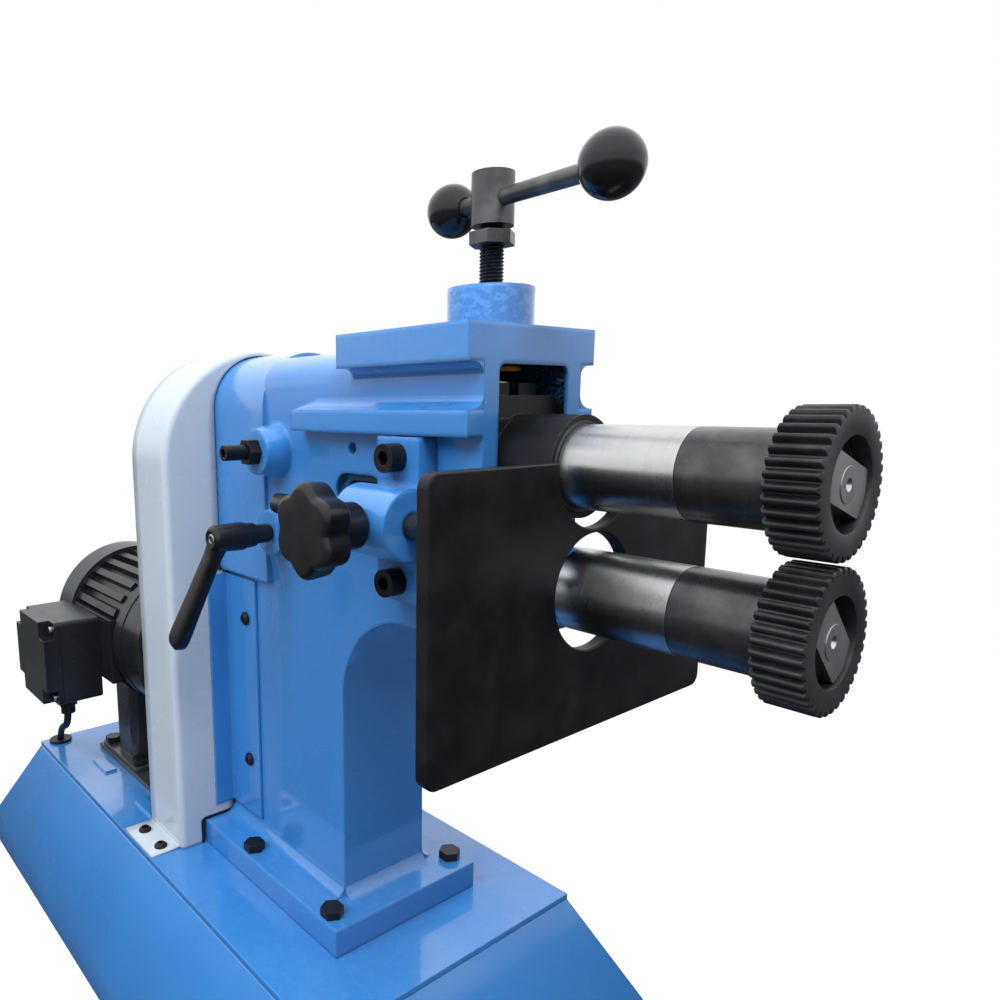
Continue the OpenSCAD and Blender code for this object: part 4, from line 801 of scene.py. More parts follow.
def cove_points(side, back, foot, cove):
    """Concave fillet carried along X in a corner of the head: y = w + s r (1 - sin a), z = z0 + s h (1 - cos a),
    with s growing from 0 to 1 over the run-out, closed through the corner and at both ends.
    The cove gives its reach r, its rise h and its run-out."""
    x0, x1, z = back * MM, HEAD_ORIGIN[0] * MM, foot * MM
    reach, rise, run = (value * MM for value in cove)
    a = np.linspace(0, np.pi / 2, 12)
    web = (HEAD_HALF - 0.4) * MM
    x = np.concatenate([[x0], np.linspace(x0, x1, 48), [x1]])
    s = np.clip((x - x0) / max(run, 1e-6), 0.02, 1)[:, None]
    s[0] = s[1]
    corner = np.full_like(s, web)
    y = np.concatenate([corner, HEAD_HALF * MM + s * reach * (1 - np.sin(a)), corner], 1)
    zz = np.concatenate([s * 0, s * rise * (1 - np.cos(a)), s * rise], 1) + z
    y[[0, -1]] = web
    zz[[0, -1]] = z
    return np.stack([np.broadcast_to(x[:, None], y.shape), side * y, zz], -1)


class BEADROLLER_OT_casting(Piece):
    """Cast frame, its gauge bracket, the fillets of the head, and their screws"""

    bl_idname = "bead_roller.casting"
    bl_label = "Castings"

    def execute(self, context):
        for node in ("frame_casting", "gauge_bracket"):
            soft_copy(node, "Cast blue", "blue_paint", 0)
        for name, side in (("near", -1.0), ("far", 1.0)):
            rib = cove_points(side, RIB_BACK, RIB_TOP, RIB_COVE)
            flange = cove_points(side, FLANGE_BACK, FLANGE_FOOT, FLANGE_COVE)
            coves = put_grids("head_coves_" + name, [rib, flange])
            finish_piece(coves, "frame", "Cove blue", "blue_paint")
        for node in ("bracket_screws", "pivot_screws", "pivot_lock_nuts"):
            soft_copy(node, "Oxide fastener", "black_steel", 0.8 * MM)
        return {"FINISHED"}


GUARD_WALL = 2.5
CUT_HALF = 56.5
CUT_CENTRE = 120.5
CUT_STEP = -46.0
COLUMN_HALF = 50.0
NOTCH_HALF = 89.0
NOTCH_TOP = -322.0
TAB_SETBACK = 6.0
TAB_THICKNESS = 3.0
TAB_RISE = 5.0
EDGING_SECTION = (3.4, 4.6)
HEAD_ORIGIN = (413.0, 0.0, 510.0)


def guard_outlines():
    """Arch and cut-out of the guard as matched rows of (y, z): arch O(u), its inward direction N(u), cut-out C(u)."""
    lo, hi = low("guard_rim"), high("guard_rim")
    half = high("guard_front_panel")[1] + (GUARD_WALL + 0.02) * MM
    centre, up = hi[2] - half, HEAD_ORIGIN[2]
    floor = lo[2] / MM - up
    keys = np.array(
        [
            (floor, -NOTCH_HALF, floor),
            (NOTCH_TOP, -NOTCH_HALF, NOTCH_TOP),
            (NOTCH_TOP + 4, -COLUMN_HALF, NOTCH_TOP),
            (CUT_STEP, -COLUMN_HALF, CUT_STEP),
            (CUT_STEP + 2, -CUT_HALF, CUT_STEP),
            (centre / MM - up, -CUT_HALF, CUT_CENTRE - 20),
        ]
    )
    u = np.concatenate([np.arange(5)[:, None] + np.linspace(0, 1, 8, endpoint=False), [[5] + [np.nan] * 7]]).ravel()
    u = u[~np.isnan(u)]
    oz, cy, cz = (np.interp(u, np.arange(6), keys[:, k]) * MM for k in range(3))
    side = np.stack([np.full_like(oz, -half), oz + up * MM], -1)
    side_cut = np.stack([cy, cz + up * MM], -1)
    turn = np.linspace(0, np.pi / 2, 33)[1:]
    arc = np.stack([-half * np.cos(turn), centre + half * np.sin(turn)], -1)
    inner = np.clip((turn - np.pi / 6) / (np.pi / 3), 0, 1) * np.pi / 2
    rise = np.clip(turn / (np.pi / 6), 0, 1)
    arc_cut = np.stack(
        [-CUT_HALF * np.cos(inner), CUT_CENTRE - 20 * (1 - rise) + CUT_HALF * np.sin(inner) + up], -1
    ) * MM
    left = np.concatenate([side, arc])
    left_cut = np.concatenate([side_cut, arc_cut])
    inward = np.concatenate([np.tile((1.0, 0.0), (len(side), 1)), np.stack([np.cos(turn), -np.sin(turn)], -1)])
    flip = np.array((-1.0, 1.0))
    both = [np.concatenate([a, a[-2::-1] * flip]) for a in (left, inward, left_cut)]
    return both + [lo[0], high("guard_front_panel")[0]]


def guard_points():
    """Rim, bend and front of the guard as one sheet S(v, u). Along v the outline goes forward at x(v), then round
    the bend, x = x1 - r + r sin a with the arch moved in by r (1 - cos a), then straight in to the cut-out.
    The bend's radius shrinks where the front is narrow."""
    arch, inward, cut, x0, x1 = guard_outlines()
    r = np.minimum(sizes().guard_bend, 0.7 * np.linalg.norm(arch - cut, axis=1))
    r = r[:, None]
    flat = np.ones_like(r)
    rows = [np.concatenate([x0 + (x1 - r - x0) * f, arch], 1) for f in np.linspace(0, 1, 6)]
    for a in np.linspace(0, np.pi / 2, 8)[1:]:
        rows.append(np.concatenate([x1 - r + r * np.sin(a), arch + inward * r * (1 - np.cos(a))], 1))
    start = arch + inward * r
    for f in np.linspace(0, 1, 7)[1:]:
        rows.append(np.concatenate([x1 * flat, start + (cut - start) * f], 1))
    return np.stack(rows)


def tab_points(side):
    """Foot tab of the guard: a bent strip, flat on the base and turned up the rim, carried along X."""
    lo, hi = low("guard_rim"), high("guard_rim")
    half = high("guard_front_panel")[1] + (GUARD_WALL + 0.06) * MM
    top = lo[2] + TAB_THICKNESS * MM
    line = rounded([(hi[1], top), (half, top), (half, top + TAB_RISE * MM)], 4 * MM, 5)
    x = np.linspace(lo[0], high("guard_front_panel")[0] - TAB_SETBACK * MM, 5)
    y = np.broadcast_to(side * line[:, 0], (len(x), len(line)))
    return np.stack([np.broadcast_to(x[:, None], y.shape), y, np.broadcast_to(line[:, 1], y.shape)], -1)


def thicken(obj, wall, probe):
    """Turns an open sheet so that its first face looks along the probe, and gives it a wall behind its faces."""
    mesh = obj.data
    if mesh.polygons[0].normal.dot(Vector(probe)) < 0:
        mesh.flip_normals()
    solid = obj.modifiers.new("wall", "SOLIDIFY")
    solid.thickness = wall
    solid.offset = -1
    return obj


def edging_points(side):
    """Black edging round the notch of the guard: a round section carried along the notch's edge."""
    lo = low("guard_rim")
    x = high("guard_front_panel")[0] - GUARD_WALL / 2 * MM
    up = HEAD_ORIGIN[2]
    floor = lo[2] / MM - up
    line = rounded([(NOTCH_HALF, floor + 0.2), (NOTCH_HALF, NOTCH_TOP), (COLUMN_HALF + 2, NOTCH_TOP)], 5.0, 6)
    path = np.stack([np.full(len(line), x), side * line[:, 0] * MM, (line[:, 1] + up) * MM], -1)
    width, height = (np.full(len(path), size * MM) for size in EDGING_SECTION)
    return sweep(path, (1, 0, 0), super_section(width, height, 3.0, 16))


class BEADROLLER_OT_guard(Piece):
    """Chain guard: one bent sheet for rim and front, foot tabs, edging, rear panel, brackets and screws"""

    bl_idname = "bead_roller.guard"
    bl_label = "Chain guard"

    def execute(self, context):
        wall = GUARD_WALL * MM
        sheet = put_grid("guard_sheet", guard_points(), sharp=60.0, outward=False)
        thicken(sheet, wall, (0, -1, 0))
        finish_piece(sheet, "frame", "Guard grey", "guard_paint", "guard_rim", "guard_front_panel")
        for name, side in (("guard_tab_near", -1.0), ("guard_tab_far", 1.0)):
            tab = thicken(put_grid(name, tab_points(side), sharp=60.0, outward=False), TAB_THICKNESS * MM, (0, 0, 1))
            finish_piece(tab, "frame", "Guard grey", "guard_paint")
        edging = put_grids("guard_edging", [edging_points(-1.0), edging_points(1.0)], 60.0)
        finish_piece(edging, "frame", "Rubber", "rubber")
        soft_copy("guard_rear_panel", "Guard grey", "guard_paint", 0.8 * MM)
        soft_copy("guard_brackets", "Sheet blue", "blue_paint", 1.0 * MM)
        soft_copy("guard_screws", "Oxide fastener", "black_steel", 0.8 * MM)
        return {"FINISHED"}


NUT_TURN = {"upper": math.radians(-21.0), "lower": 0.0}


def turn_about_x(obj, angle):
    """Turns a piece's points about the X line through its middle:
    (y, z) -> (y cos a - z sin a, y sin a + z cos a)."""
    co = read_points(obj.data)
    mid = (co.min(0) + co.max(0)) / 2
    y, z = co[:, 1] - mid[1], co[:, 2] - mid[2]
    co[:, 1] = mid[1] + y * np.cos(angle) - z * np.sin(angle)
    co[:, 2] = mid[2] + y * np.sin(angle) + z * np.cos(angle)
    write_points(obj.data, co)


class BEADROLLER_OT_spindles(Piece):
    """Shafts, sleeves, nuts, gears and bearings of the two spindles"""

    bl_idname = "bead_roller.spindles"
    bl_label = "Spindles"

    def execute(self, context):
        edge = sizes().turned_edge
        for side in ("upper", "lower"):
            soft_copy(side + "_shaft", "Bright steel", "bright_steel", edge)
            soft_copy(side + "_sleeve", "Oxide turned", "black_steel", edge)
            nut = soft_copy(side + "_roll_nut", "Dull steel", "black_steel", 0)
            turn_about_x(nut, NUT_TURN[side])
            soft_copy(side + "_gear", "Dull steel", "bright_steel", 0.3 * MM)
        soft_copy("upper_front_block", "Oxide plate", "black_steel", 1.2 * MM)
        soft_copy("upper_front_bush", "Oxide turned", "black_steel", 0.5 * MM)
        soft_copy("lower_front_bush", "Cast blue", "blue_paint", 0)
        soft_copy("lower_rear_sleeve", "Bronze", "bronze", 0.5 * MM)
        soft_copy("upper_swivel_ring", "Dull steel", "bright_steel", 0.6 * MM)
        return {"FINISHED"}


ROLL_TEETH = 36
ROLL_RECESS = 25.5
ROLL_RECESS_DEPTH = 10.0
ROLL_BORE = 20.02
TOOTH_HEIGHT = 4.0
TOOTH_HALF = 0.38
TOOTH_POWER = 2.6


def roll_points(node, turn):
    """Toothed roll as a closed outline carried round X. On the rim the radius is
    root + height * (1 - |p / half| ** power), where p is the place across a tooth from -0.5 to 0.5,
    held below a chamfer line that drops towards both ends."""
    lo, hi = low(node), high(node)
    centre = (lo + hi) / 2
    rim = (hi[2] - lo[2]) / 2
    end = sizes().tooth_end
    root = rim - TOOTH_HEIGHT * MM
    per_tooth = 14
    t = np.arange(ROLL_TEETH * per_tooth) * 2 * np.pi / (ROLL_TEETH * per_tooth)
    p = ((t - turn) * ROLL_TEETH / (2 * np.pi) + 0.5) % 1.0 - 0.5
    tooth = root + TOOTH_HEIGHT * MM * (1 - np.minimum(np.abs(p / TOOTH_HALF), 1.0) ** TOOTH_POWER)
    x0, x1 = lo[0], hi[0]
    recess, floor = ROLL_RECESS * MM, x1 - ROLL_RECESS_DEPTH * MM
    bore = ROLL_BORE * MM
    inner = np.array([(x0, bore), (x0, bore + 1 * MM), (x0, recess)])
    s = np.linspace(0, 1, 7)
    x_rim = np.concatenate([x0 + end * s**2, np.linspace(x0, x1, 9)[1:-1], x1 - end * s[::-1] ** 2])
    drop = np.minimum(np.minimum(x_rim - x0, x1 - x_rim) / end, 1.0)
    cap = rim - 1.7 * end * (1 - np.sqrt(np.clip(1 - (1 - drop) ** 2, 0, 1)))
    rim_r = np.minimum(tooth[None, :], cap[:, None])
    front = np.array(
        [
            (x1, root - 1.2 * MM),
            (x1, recess + 0.6 * MM),
            (x1 - 0.2 * MM, recess + 0.2 * MM),
            (x1 - 0.6 * MM, recess),
            (floor + 0.4 * MM, recess),
            (floor, recess - 0.4 * MM),
            (floor, bore + 0.2 * MM),
            (floor - 0.2 * MM, bore),
            (x0 + 0.2 * MM, bore),
        ]
    )
    xs = np.concatenate([inner[:, 0], x_rim, front[:, 0]])
    ones = np.ones_like(t)
    rs = np.concatenate([inner[:, 1:] * ones, rim_r, front[:, 1:] * ones])
    y = centre[1] + rs * np.cos(t)
    z = centre[2] + rs * np.sin(t)
    return np.stack([np.broadcast_to(xs[:, None], y.shape), y, z], -1)


class BEADROLLER_OT_rolls(Piece):
    """The two toothed rolls, with crowned teeth, chamfered ends and recessed fronts"""

    bl_idname = "bead_roller.rolls"
    bl_label = "Rolls"

    def execute(self, context):
        for node, turn in (("upper_roll", 0.0), ("lower_roll", np.pi / ROLL_TEETH)):
            obj = put_grid(node + "_teeth", roll_points(node, turn), True, True, 35.0)
            finish_piece(obj, BODY_OF[node], "Oxide roll", "black_steel", node)
        return {"FINISHED"}


BALL_RADIUS = 20.0
BALL_GRIP = 8.0
BALL_NECK = 8.2
BALL_NECK_RING = ((-18.4, 8.2), (-18.9, 7.4), (-18.6, 6.05), (-12.0, 6.05), (-12.0, 0.0))
BAR_RADIUS = 6.0
TIP_RADIUS = 6.0
NECK_DROP = 12.0


def bar_axis():
    """Ends of the cross bar and its direction, from the bar's own points furthest apart."""
    co = read_points(NODES["tee_bar"].data)
    centre = (co.min(0) + co.max(0)) / 2
    axis = np.linalg.svd(co - centre, full_matrices=False)[2][0]
    axis = axis if axis[0] > 0 else -axis
    along = (co - centre) @ axis
    return centre + along.min() * axis, centre + along.max() * axis, axis


def thread_points(x, y, z0, z1, radius, depth, pitch, sides=48, per_turn=8):
    """Threaded rod along Z: radius(t, z) = r - depth * (1 - |2 frac(z / pitch - t / 2 pi) - 1|) ** 1.2,
    closed at both ends."""
    rows = int((z1 - z0) / pitch * per_turn)
    z = np.linspace(z0, z1, rows)[:, None]
    t = (np.arange(sides) * 2 * np.pi / sides)[None]
    saw = np.abs(2 * ((z / pitch - t / (2 * np.pi)) % 1.0) - 1)
    r = radius - depth * (1 - saw) ** 1.2
    pts = np.stack([x + r * np.cos(t), y + r * np.sin(t), np.broadcast_to(z, r.shape)], -1)
    cap0 = np.broadcast_to(np.array([x, y, z0]), pts[:1].shape)
    cap1 = np.broadcast_to(np.array([x, y, z1]), pts[:1].shape)
    return np.concatenate([cap0, pts, cap1])


class BEADROLLER_OT_pressure(Piece):
    """Pressure screw with its thread, lock nut, tee hub, cross bar, ball knobs, nut and thrust pad"""

    bl_idname = "bead_roller.pressure"
    bl_label = "Pressure screw"

    def execute(self, context):
        lo, hi = low("pressure_screw"), high("pressure_screw")
        x, y = (lo + hi)[:2] / 2
        r = (hi[0] - lo[0]) / 2
        tip = TIP_RADIUS * MM
        neck = low("screw_nut")[2] - NECK_DROP * MM
        s = sizes()
        thread = thread_points(x, y, neck, hi[2], r, s.thread_depth, s.thread_pitch)
        outline = rounded([(lo[2], 0), (lo[2], tip), (neck, tip), (neck, 0)], 0.5 * MM)
        point = revolve(outline, (x, y, 0), (0, 0, 1), 48)
        obj = put_grids("pressure_screw_thread", [thread, point], 50.0)
        finish_piece(obj, "screw", "Oxide fastener", "black_steel", "pressure_screw")
        soft_copy("jam_nut", "Oxide grey", "black_steel", 1.2 * MM, 3)
        soft_copy("tee_hub", "Oxide grey", "black_steel", 1.0 * MM, 3)
        start, end, axis = bar_axis()
        length = float((end - start) @ axis)
        bar = rounded([(0, 0), (0, BAR_RADIUS * MM), (length, BAR_RADIUS * MM), (length, 0)], 0.8 * MM)
        rod = put_grids("tee_bar_rod", [revolve(bar, start, axis, 48)])
        finish_piece(rod, "cross_bar", "Oxide grey", "black_steel", "tee_bar")
        a = np.linspace(0, np.pi, 49)
        ball = np.stack([np.cos(a), np.sin(a)], -1) * BALL_RADIUS * MM
        round_part = ball[(ball[:, 0] >= 0) | (ball[:, 1] >= BALL_NECK * MM)]
        outline = np.concatenate([round_part, np.array(BALL_NECK_RING) * MM])
        grip = BALL_GRIP * MM * axis
        grids = [revolve(outline, start + grip, -axis, 72), revolve(outline, end - grip, axis, 72)]
        balls = put_grids("ball_knob_pair", grids, 35.0)
        finish_piece(balls, "cross_bar", "Ball plastic", "black_plastic", "ball_knobs")
        soft_copy("screw_nut", "Bronze", "bronze", 0.5 * MM)
        soft_copy("thrust_pad", "Bright steel", "bright_steel", 0.6 * MM)
        return {"FINISHED"}


KNOB_LOBES = 6


def star_points():
    """Six-lobed knob along -Y: radius(t, s) = core_s + lobe_s * (0.5 + 0.5 cos 6t) ** 0.75,
    with the core and the lobes given by rounded outlines from the rear of the neck to the front face."""
    lo, hi = low("star_knob"), high("star_knob")
    x, z = (lo + hi)[0] / 2, (lo + hi)[2] / 2
    tip = (hi[2] - lo[2]) / 2
    front = lo[1]
    rows = rounded(
        [
            (hi[1] - front, 0.0, 0.0),
            (hi[1] - front, 6.0 * MM, 0.0),
            (48.2 * MM, 6.0 * MM, 0.0),
            (48.0 * MM, 15.6 * MM, 0.0),
            (46.0 * MM, 17.0 * MM, 0.0),
            (27.0 * MM, 17.4 * MM, 0.0),
            (24.5 * MM, 23.5 * MM, 1.8 * MM),
            (21.5 * MM, 27.4 * MM, 5.2 * MM),
            (4.0 * MM, 28.6 * MM, tip - 28.6 * MM),
            (0.6 * MM, 26.0 * MM, tip - 29.4 * MM),
            (0.25 * MM, 14.0 * MM, 2.0 * MM),
            (0.0, 0.0, 0.0),
        ],
        2.2 * MM,
        5,
    )
    t = np.arange(192) * 2 * np.pi / 192
    lobe = (0.5 + 0.5 * np.cos(KNOB_LOBES * (t - np.pi / 6))) ** 0.75
    r = rows[:, 1, None] + rows[:, 2, None] * lobe[None]
    y = np.broadcast_to((front + rows[:, 0])[:, None], r.shape)
    return np.stack([x + r * np.cos(t), y, z + r * np.sin(t)], -1)


PLATE_CORNER = 4.0
PLATE_ROUND = 2.3


class BEADROLLER_OT_gauge(Piece):
    """Depth gauge: plate, rod and star knob"""

    bl_idname = "bead_roller.gauge"
    bl_label = "Depth gauge"

    def execute(self, context):
        plate = soft_copy("gauge_plate", "Oxide plate", "black_steel", sizes().plate_edge, 3)
        round_corners(plate, PLATE_CORNER * MM, PLATE_ROUND)
        soft_copy("gauge_rod", "Oxide turned", "black_steel", sizes().turned_edge)
        obj = put_grids("star_knob_lobes", [star_points()], 50.0)
        finish_piece(obj, "star_knob", "Black plastic", "black_plastic", "star_knob")
        return {"FINISHED"}


LEVER_HUB_LENGTH = 60.0
LEVER_FACE = -64.0
LEVER_HUB_RADIUS = 13.0
LEVER_STUD_RADIUS = 6.0
LEVER_ANGLE = 20.7
LEVER_TILT = 14.66
LEVER_REACH = 118.0
LEVER_STATIONS = (0.0, 0.15, 0.5, 0.86, 1.0)
LEVER_WIDTHS = (20.0, 17.0, 19.5, 22.0, 20.5)
LEVER_DEPTHS = (17.0, 14.0, 14.0, 15.5, 14.5)
LEVER_SCREW = ((2.6, 0.0), (2.6, 5.4), (0.9, 5.0), (0.5, 3.2), (1.9, 2.4), (1.9, 0.0))


def joint_place(name):
    """Where the record puts the named joint."""
    return next(np.array(j["pos_m"]) for j in frame["record"]["behaviour"]["joints"] if j["name"] == name)


def lever_parts():
    """Hub turned about Y, and an arm that is a superellipse carried along a gently bent path, wider at its tip."""
    hi = high("clamp_lever")
    pivot = joint_place("lever_turn")
    face = LEVER_FACE * MM
    end = face - LEVER_HUB_LENGTH * MM
    r = LEVER_HUB_RADIUS * MM
    hub = rounded(
        [
            (hi[1], 0.0),
            (hi[1], LEVER_STUD_RADIUS * MM),
            (face - 0.4 * MM, LEVER_STUD_RADIUS * MM),
            (face - 0.4 * MM, r * 0.68),
            (face - 15 * MM, r * 0.70),
            (face - 15.5 * MM, r * 0.86),
            (face - 25 * MM, r * 0.9),
            (face - 28 * MM, r),
            (end + 3.5 * MM, r * 0.94),
            (end, r * 0.72),
            (end, r * 0.5),
            (end + 2.5 * MM, r * 0.46),
            (end + 2.5 * MM, 0.0),
        ],
        1.0 * MM,
    )
    hub_pts = revolve(hub, (pivot[0], 0, pivot[2]), (0, 1, 0), 64)
    start = np.array([pivot[0], end + 10 * MM, pivot[2]])
    angle, tilt = math.radians(LEVER_ANGLE), math.radians(LEVER_TILT)
    turn = Matrix.Rotation(angle, 3, "Y") @ Matrix.Rotation(-tilt, 3, "X") @ Matrix.Rotation(math.pi, 3, "X")
    along = np.array(turn @ Vector((0, 0, 1)))
    s = np.concatenate([np.linspace(0, 0.9, 40), 1 - 0.1 * (1 - np.linspace(0, 1, 14)[1:]) ** 2])
    path = start + s[:, None] * LEVER_REACH * MM * along
    width = np.interp(s, LEVER_STATIONS, LEVER_WIDTHS) * MM
    depth = np.interp(s, LEVER_STATIONS, LEVER_DEPTHS) * MM
    close = np.sqrt(np.clip(1 - np.clip((s - 0.915) / 0.085, 0, 1) ** 2, 0, 1))
    section = super_section(np.maximum(width * close, 0.01 * MM), np.maximum(depth * close, 0.01 * MM), 3.2)
    arm_pts = sweep(path, (0, 1, 0), section)
    return hub_pts, arm_pts, pivot, end


class BEADROLLER_OT_lever(Piece):
    """Clamp lever: stepped hub, flat arm that widens to its tip, and the bright screw in the hub's end"""

    bl_idname = "bead_roller.lever"
    bl_label = "Clamp lever"

    def execute(self, context):
        hub, arm, pivot, end = lever_parts()
        obj = put_grids("clamp_lever_grip", [hub, arm], 40.0)
        finish_piece(obj, "clamp_lever", "Black plastic", "black_plastic", "clamp_lever")
        screw = rounded(np.array(LEVER_SCREW) * MM, 0.4 * MM)
        pts = revolve(screw, (pivot[0], end, pivot[2]), (0, 1, 0), 48)
        finish_piece(put_grids("clamp_lever_screw", [pts]), "clamp_lever", "Bright steel", "bright_steel")
        return {"FINISHED"}


class BEADROLLER_OT_motor(Piece):
    """Gear motor, its terminal box, post, rail, chain and sprockets"""

    bl_idname = "bead_roller.motor"
    bl_label = "Motor"

    def execute(self, context):
        for node, edge in (("motor_body", 0.8), ("motor_cowl", 1.5), ("reducer_housing", 1.5)):
            soft_copy(node, "Motor black", "motor_paint", edge * MM)
        for node, edge in (("terminal_box", 1.6), ("terminal_lid", 1.8)):
            soft_copy(node, "Motor black", "black_plastic", edge * MM, 3)
        # The rail takes the post's dark grey as painted shade: it stands in the shade under the motor.
        for node, edge in (("motor_post", 2.5), ("motor_rail", 1.0)):
            soft_copy(node, "Post grey", "post_paint", edge * MM, 3)
        soft_copy("lid_screws", "Bright steel", "bright_steel", 0.4 * MM)
        soft_copy("cable_gland", "Black plastic", "black_plastic", 0.7 * MM)
        soft_copy("motor_fan", "Black plastic", "black_plastic", 0.6 * MM)
        soft_copy("lead_grommet", "Rubber", "rubber", 0.8 * MM)
        for node in ("motor_shaft", "output_shaft", "driven_sprocket", "drive_sprocket"):
            soft_copy(node, "Dull steel", "bright_steel", 0.4 * MM)
        soft_copy("drive_chain", "Oxide fastener", "black_steel", 0.3 * MM)
        return {"FINISHED"}


LEAD_DIAMETER = 9.0
LEAD_EASE = 80.0
LEAD_HEAD = 32.0
LEAD_LEAN = 45.0
LEAD_REACH = 90.0
LEAD_TURN = 50.0


def bezier(p0, p1, p2, p3, count):
    """Cubic B(t) = (1-t)^3 p0 + 3 (1-t)^2 t p1 + 3 (1-t) t^2 p2 + t^3 p3."""
    t = np.linspace(0, 1, count)[:, None]
    return (1 - t) ** 3 * p0 + 3 * (1 - t) ** 2 * t * p1 + 3 * (1 - t) * t**2 * p2 + t**3 * p3


def lead_path():
    """Route of the lead: upright out of the terminal box, one cubic that leans over to the grommet,
    and an arc that turns it upright again inside the base."""
    up = np.array([0, 0, MM])
    a = np.append(middle("cable_gland")[:2], low("cable_gland")[2]) + LEAD_HEAD * up
    b = np.append(middle("lead_grommet")[:2], high("lead_grommet")[2])
    over = (b - a) * (1, 1, 0)
    over = over / np.linalg.norm(over) * MM
    lean = math.radians(LEAD_LEAN)
    d = over * math.sin(lean) - up * math.cos(lean)
    c = b + LEAD_TURN * (over * (1 - math.cos(lean)) - up * math.sin(lean))
    k = LEAD_TURN * math.tan(lean / 4) * 4 / 3
    run = bezier(a, a - LEAD_EASE * up, b - LEAD_REACH * d, b, 31)
    return np.concatenate([run, bezier(b, b + k * d, c + k * up, c, 9)[1:]])


class BEADROLLER_OT_lead(Piece):
    """Motor lead from the terminal box into the base: a round sheath along one smooth curve"""

    bl_idname = "bead_roller.lead"
    bl_label = "Motor lead"

    def execute(self, context):
        path = lead_path()
        section = circle_section(LEAD_DIAMETER / 2 * MM, 18)
        pts = sweep(path, (0, 1, 0), section)
        obj = put_grid("motor_lead_sheath", pts, False, True, 60.0)
        finish_piece(obj, "frame", "Rubber", "rubber", "motor_lead")
        return {"FINISHED"}


SPRING_WIRE = 2.0
SPRING_RADIUS = 5.2
SPRING_TURNS = 4


class BEADROLLER_OT_springs(Piece):
    """The two return springs under the upper block: wire carried along a helix"""

    bl_idname = "bead_roller.springs"
    bl_label = "Return springs"

    def execute(self, context):
        lo, hi = low("return_springs"), high("return_springs")
        wire = SPRING_WIRE / 2 * MM
        z0, z1 = lo[2] + wire, hi[2] - wire
        t = np.linspace(0, 2 * np.pi * SPRING_TURNS, 40 * SPRING_TURNS + 1)
        grids = []
        r = SPRING_RADIUS * MM
        x = (lo[0] + hi[0]) / 2
        for y in (lo[1] + r + wire, hi[1] - r - wire):
            path = np.stack([x + r * np.cos(t), y + r * np.sin(t), z0 + (z1 - z0) * t / t[-1]], -1)
            grids.append(sweep(path, (0, 0, 1), circle_section(wire, 12)))
        obj = put_grids("return_spring_wire", grids, 60.0)
        obj.data.materials.clear()
        obj.data.materials.append(material("Dull steel"))
        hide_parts("return_springs")
        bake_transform(obj)
        return {"FINISHED"}


# Stage

CAMERA_PLACE = (0.7822, -0.4459, 0.6364)
CAMERA_AZIMUTH = 51.787
CAMERA_DROP = 9.648
CAMERA_ROLL = -0.353
CAMERA_FOCAL = 0.78876
CAMERA_CENTRE = (0.36283, 0.53821)
CAMERA_SENSOR = 36.0
FLOOR_HALF = 6.0
FLOOR_TONES = ((0.9, 0.9, 0.9), (0.94, 0.94, 0.94))
FLOOR_BOUNCE = (0.4, 0.4, 0.41)
FLOOR_MIRROR = ((0.05, 0.05, 0.055), (0.16, 0.16, 0.17))
FLOOR_FADE = (0.7, 1.6)
SKY_SOFT = ((0.08, 0.083, 0.09), (0.6, 0.61, 0.63))
HALL = ((0.16, 0.16, 0.17), (1.25, 1.25, 1.26), (1.6, 1.6, 1.62))
LAMPS = (
    ("Key", (0.2, -2.2, 2.4), (0.3, 0.0, 0.5), 1.8, 74.0),
    ("Top", (0.4, 0.3, 2.9), (0.4, 0.0, 0.4), 2.4, 40.0),
    ("Fill", (1.9, -0.8, 2.6), (0.4, 0.0, 0.6), 1.2, 54.0),
)


